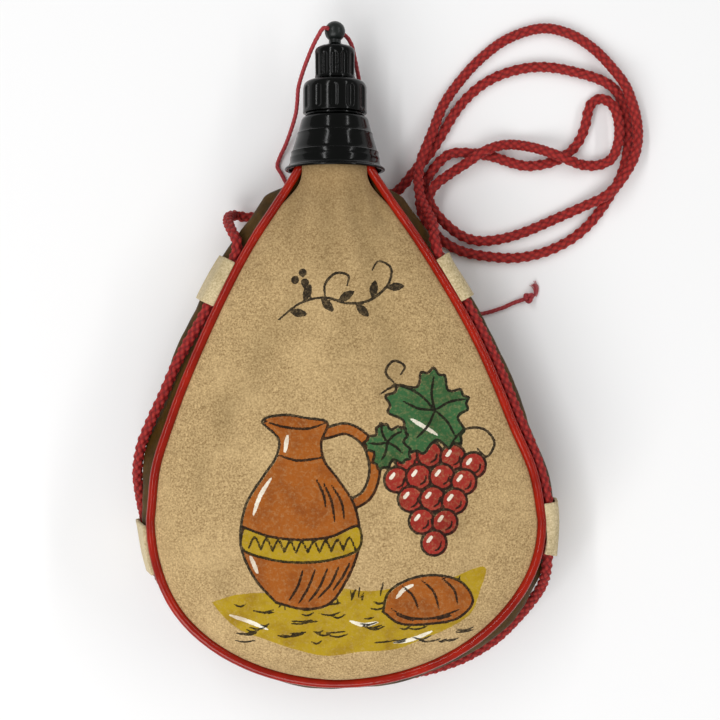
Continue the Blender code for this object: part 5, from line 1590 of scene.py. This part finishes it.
# %% Grapes and leaves
GRAPES = (
    (22, -38), (30, -36), (38.5, -37), (46, -40), (18, -45), (26, -44), (34.5, -44), (42.5, -46),
    (23, -52), (31, -52), (39, -53), (27, -60), (35.5, -60.5), (31.5, -68),
)
GRAPE_RADIUS = 4.6
VINE_LEAVES = ((32, -20, 15.5, 0.35), (14.5, -31.5, 8.5, 1.9))
TENDRILS = (
    ((32, -20), (26, -14), (18, -11), (12, -14)),
    ((38, -32), (43, -27), (50, -27), (54, -32), (51, -37), (47.5, -34)),
    ((18, -11), (14, -6), (17, -2), (21, -4), (19.5, -7)),
)
LIGHTS = (
    ((-32.5, -79), (-35, -73)), ((-34, -58), (-31.5, -51), (-27.5, -44.5)),
    ((-22.5, -35), (-21.5, -29)), ((18, -88), (20.5, -85), (24, -83.3)),
    ((-43, -95), (-35, -97.5), (-29, -100)), ((1, -96.5), (6, -98), (11, -97)),
    ((31, -101), (23, -104), (17, -105)), ((23, -23), (28, -26), (33, -29)),
)

for x, y in GRAPES:
    print_area("red", disc(x, y, GRAPE_RADIUS))
    pen(bar(((x - 2.1, y + 0.6), (x - 1.0, y + 2.0)), 1.3), "white")
    pen(bar(((x + 2.6, y + 0.4), (x + 2.1, y - 1.8), (x + 0.2, y - 2.9)), 0.8, 0.5))
for x, y, size, turn in VINE_LEAVES:
    around = np.linspace(0, math.tau, 40, endpoint=False)
    reach = size * (0.62 + 0.38 * np.abs(np.cos(2.5 * around)) ** 0.9)
    reach = reach * (1 + 0.06 * np.cos(20 * around)) * (1 - 0.18 * np.cos(around))
    rim = np.stack([x + reach * np.cos(around + turn), y + reach * np.sin(around + turn)], 1)
    print_area("green", area([tuple(place) for place in rim]))
    for vein in turn + math.tau * np.arange(5) / 5:
        side = (x + 0.4 * size * math.cos(vein + 0.16), y + 0.4 * size * math.sin(vein + 0.16))
        tip = (x + 0.78 * size * math.cos(vein), y + 0.78 * size * math.sin(vein))
        pen(bar(((x, y), side, tip), PEN_WIDTH, 0.5))
for points in TENDRILS:
    pen(bar(points, PEN_WIDTH, 0.4))
for points in LIGHTS:
    pen(bar(points, 1.5, 0.7), "white")
print("picture:", len(GRAPES), "grapes and", len(VINE_LEAVES), "leaves")

# %% Vine sprig above the picture
SPRIG_STEM = (
    (-25, 13), (-17, 19), (-8, 21), (0, 19), (8, 20), (15, 26), (16, 32), (11.5, 34.5), (9, 31),
)
SPRIG_SECOND_STEM = ((-8, 21), (-8, 26), (-4, 30), (0.5, 29), (0, 25.5))
SPRIG_LEAF = 7.0
SPRIG_BERRIES = ((-19, 27.5), (-16.2, 30.2), (-15.4, 26.6))

stem = pen_line(SPRIG_STEM)
for points in (SPRIG_STEM, SPRIG_SECOND_STEM, ((-13, 20.5), (-16.5, 26.5))):
    pen(bar(points, 1.0, 0.4))
for x, y in SPRIG_BERRIES:
    pen(disc(x, y, 1.5))
for k in range(7):
    at = int((0.08 + 0.105 * k) * len(stem))
    foot, ahead = stem[at], stem[at + 2] - stem[at]
    lean = math.atan2(ahead[1], ahead[0]) + (0.85 if k % 2 else -0.85)
    tip = foot + SPRIG_LEAF * np.array([math.cos(lean), math.sin(lean)])
    belly = 1.6 * np.array([-math.sin(lean), math.cos(lean)])
    middle = (foot + tip) / 2
    pen(area([tuple(foot), tuple(middle + belly), tuple(tip), tuple(middle - belly)]))

for ink, values in ink_share.items():
    store_value(front_suede, "ink_" + ink, values)
print("inks:", {ink: int((values > 0.5).sum()) for ink, values in ink_share.items()})

# %% Inks on the nap
INK_COLOURS = {
    "ochre": "AC8E12", "clay": "9E5414", "red": "9A2420", "green": "2E6238", "white": "F2ECDA",
    "line": "1E1810",
}
WORN_TONE = "B08C60"

tree, place = suede_tree, object_place(suede_tree)
ragged = grain_noise(tree, place, 0.0008, 3.0, 0.7)
worn = grain_noise(tree, place, 0.0013, 4.0, 0.75)
uneven = spread(tree, grain_noise(tree, place, 0.0085, 4.0, 0.6), 0.45, 0.68, 0.0, 0.5)
strength = spread(tree, worn, 0.34, 0.52, 0.72, 0.97)
printed = suede_tone
for ink in INKS:
    edge = math_value(tree, "MULTIPLY_ADD", ragged, 0.16, stored(tree, "ink_" + ink))
    cover = spread(tree, edge, 0.57, 0.59, 0.0, strength)
    pigment = mix_colours(tree, uneven, linear(INK_COLOURS[ink]), linear(WORN_TONE), "MULTIPLY")
    printed = mix_colours(tree, cover, printed, pigment)
tree.links.new(printed, suede_shader.inputs["Base Color"])
print("printed inks:", ", ".join(INK_COLOURS))
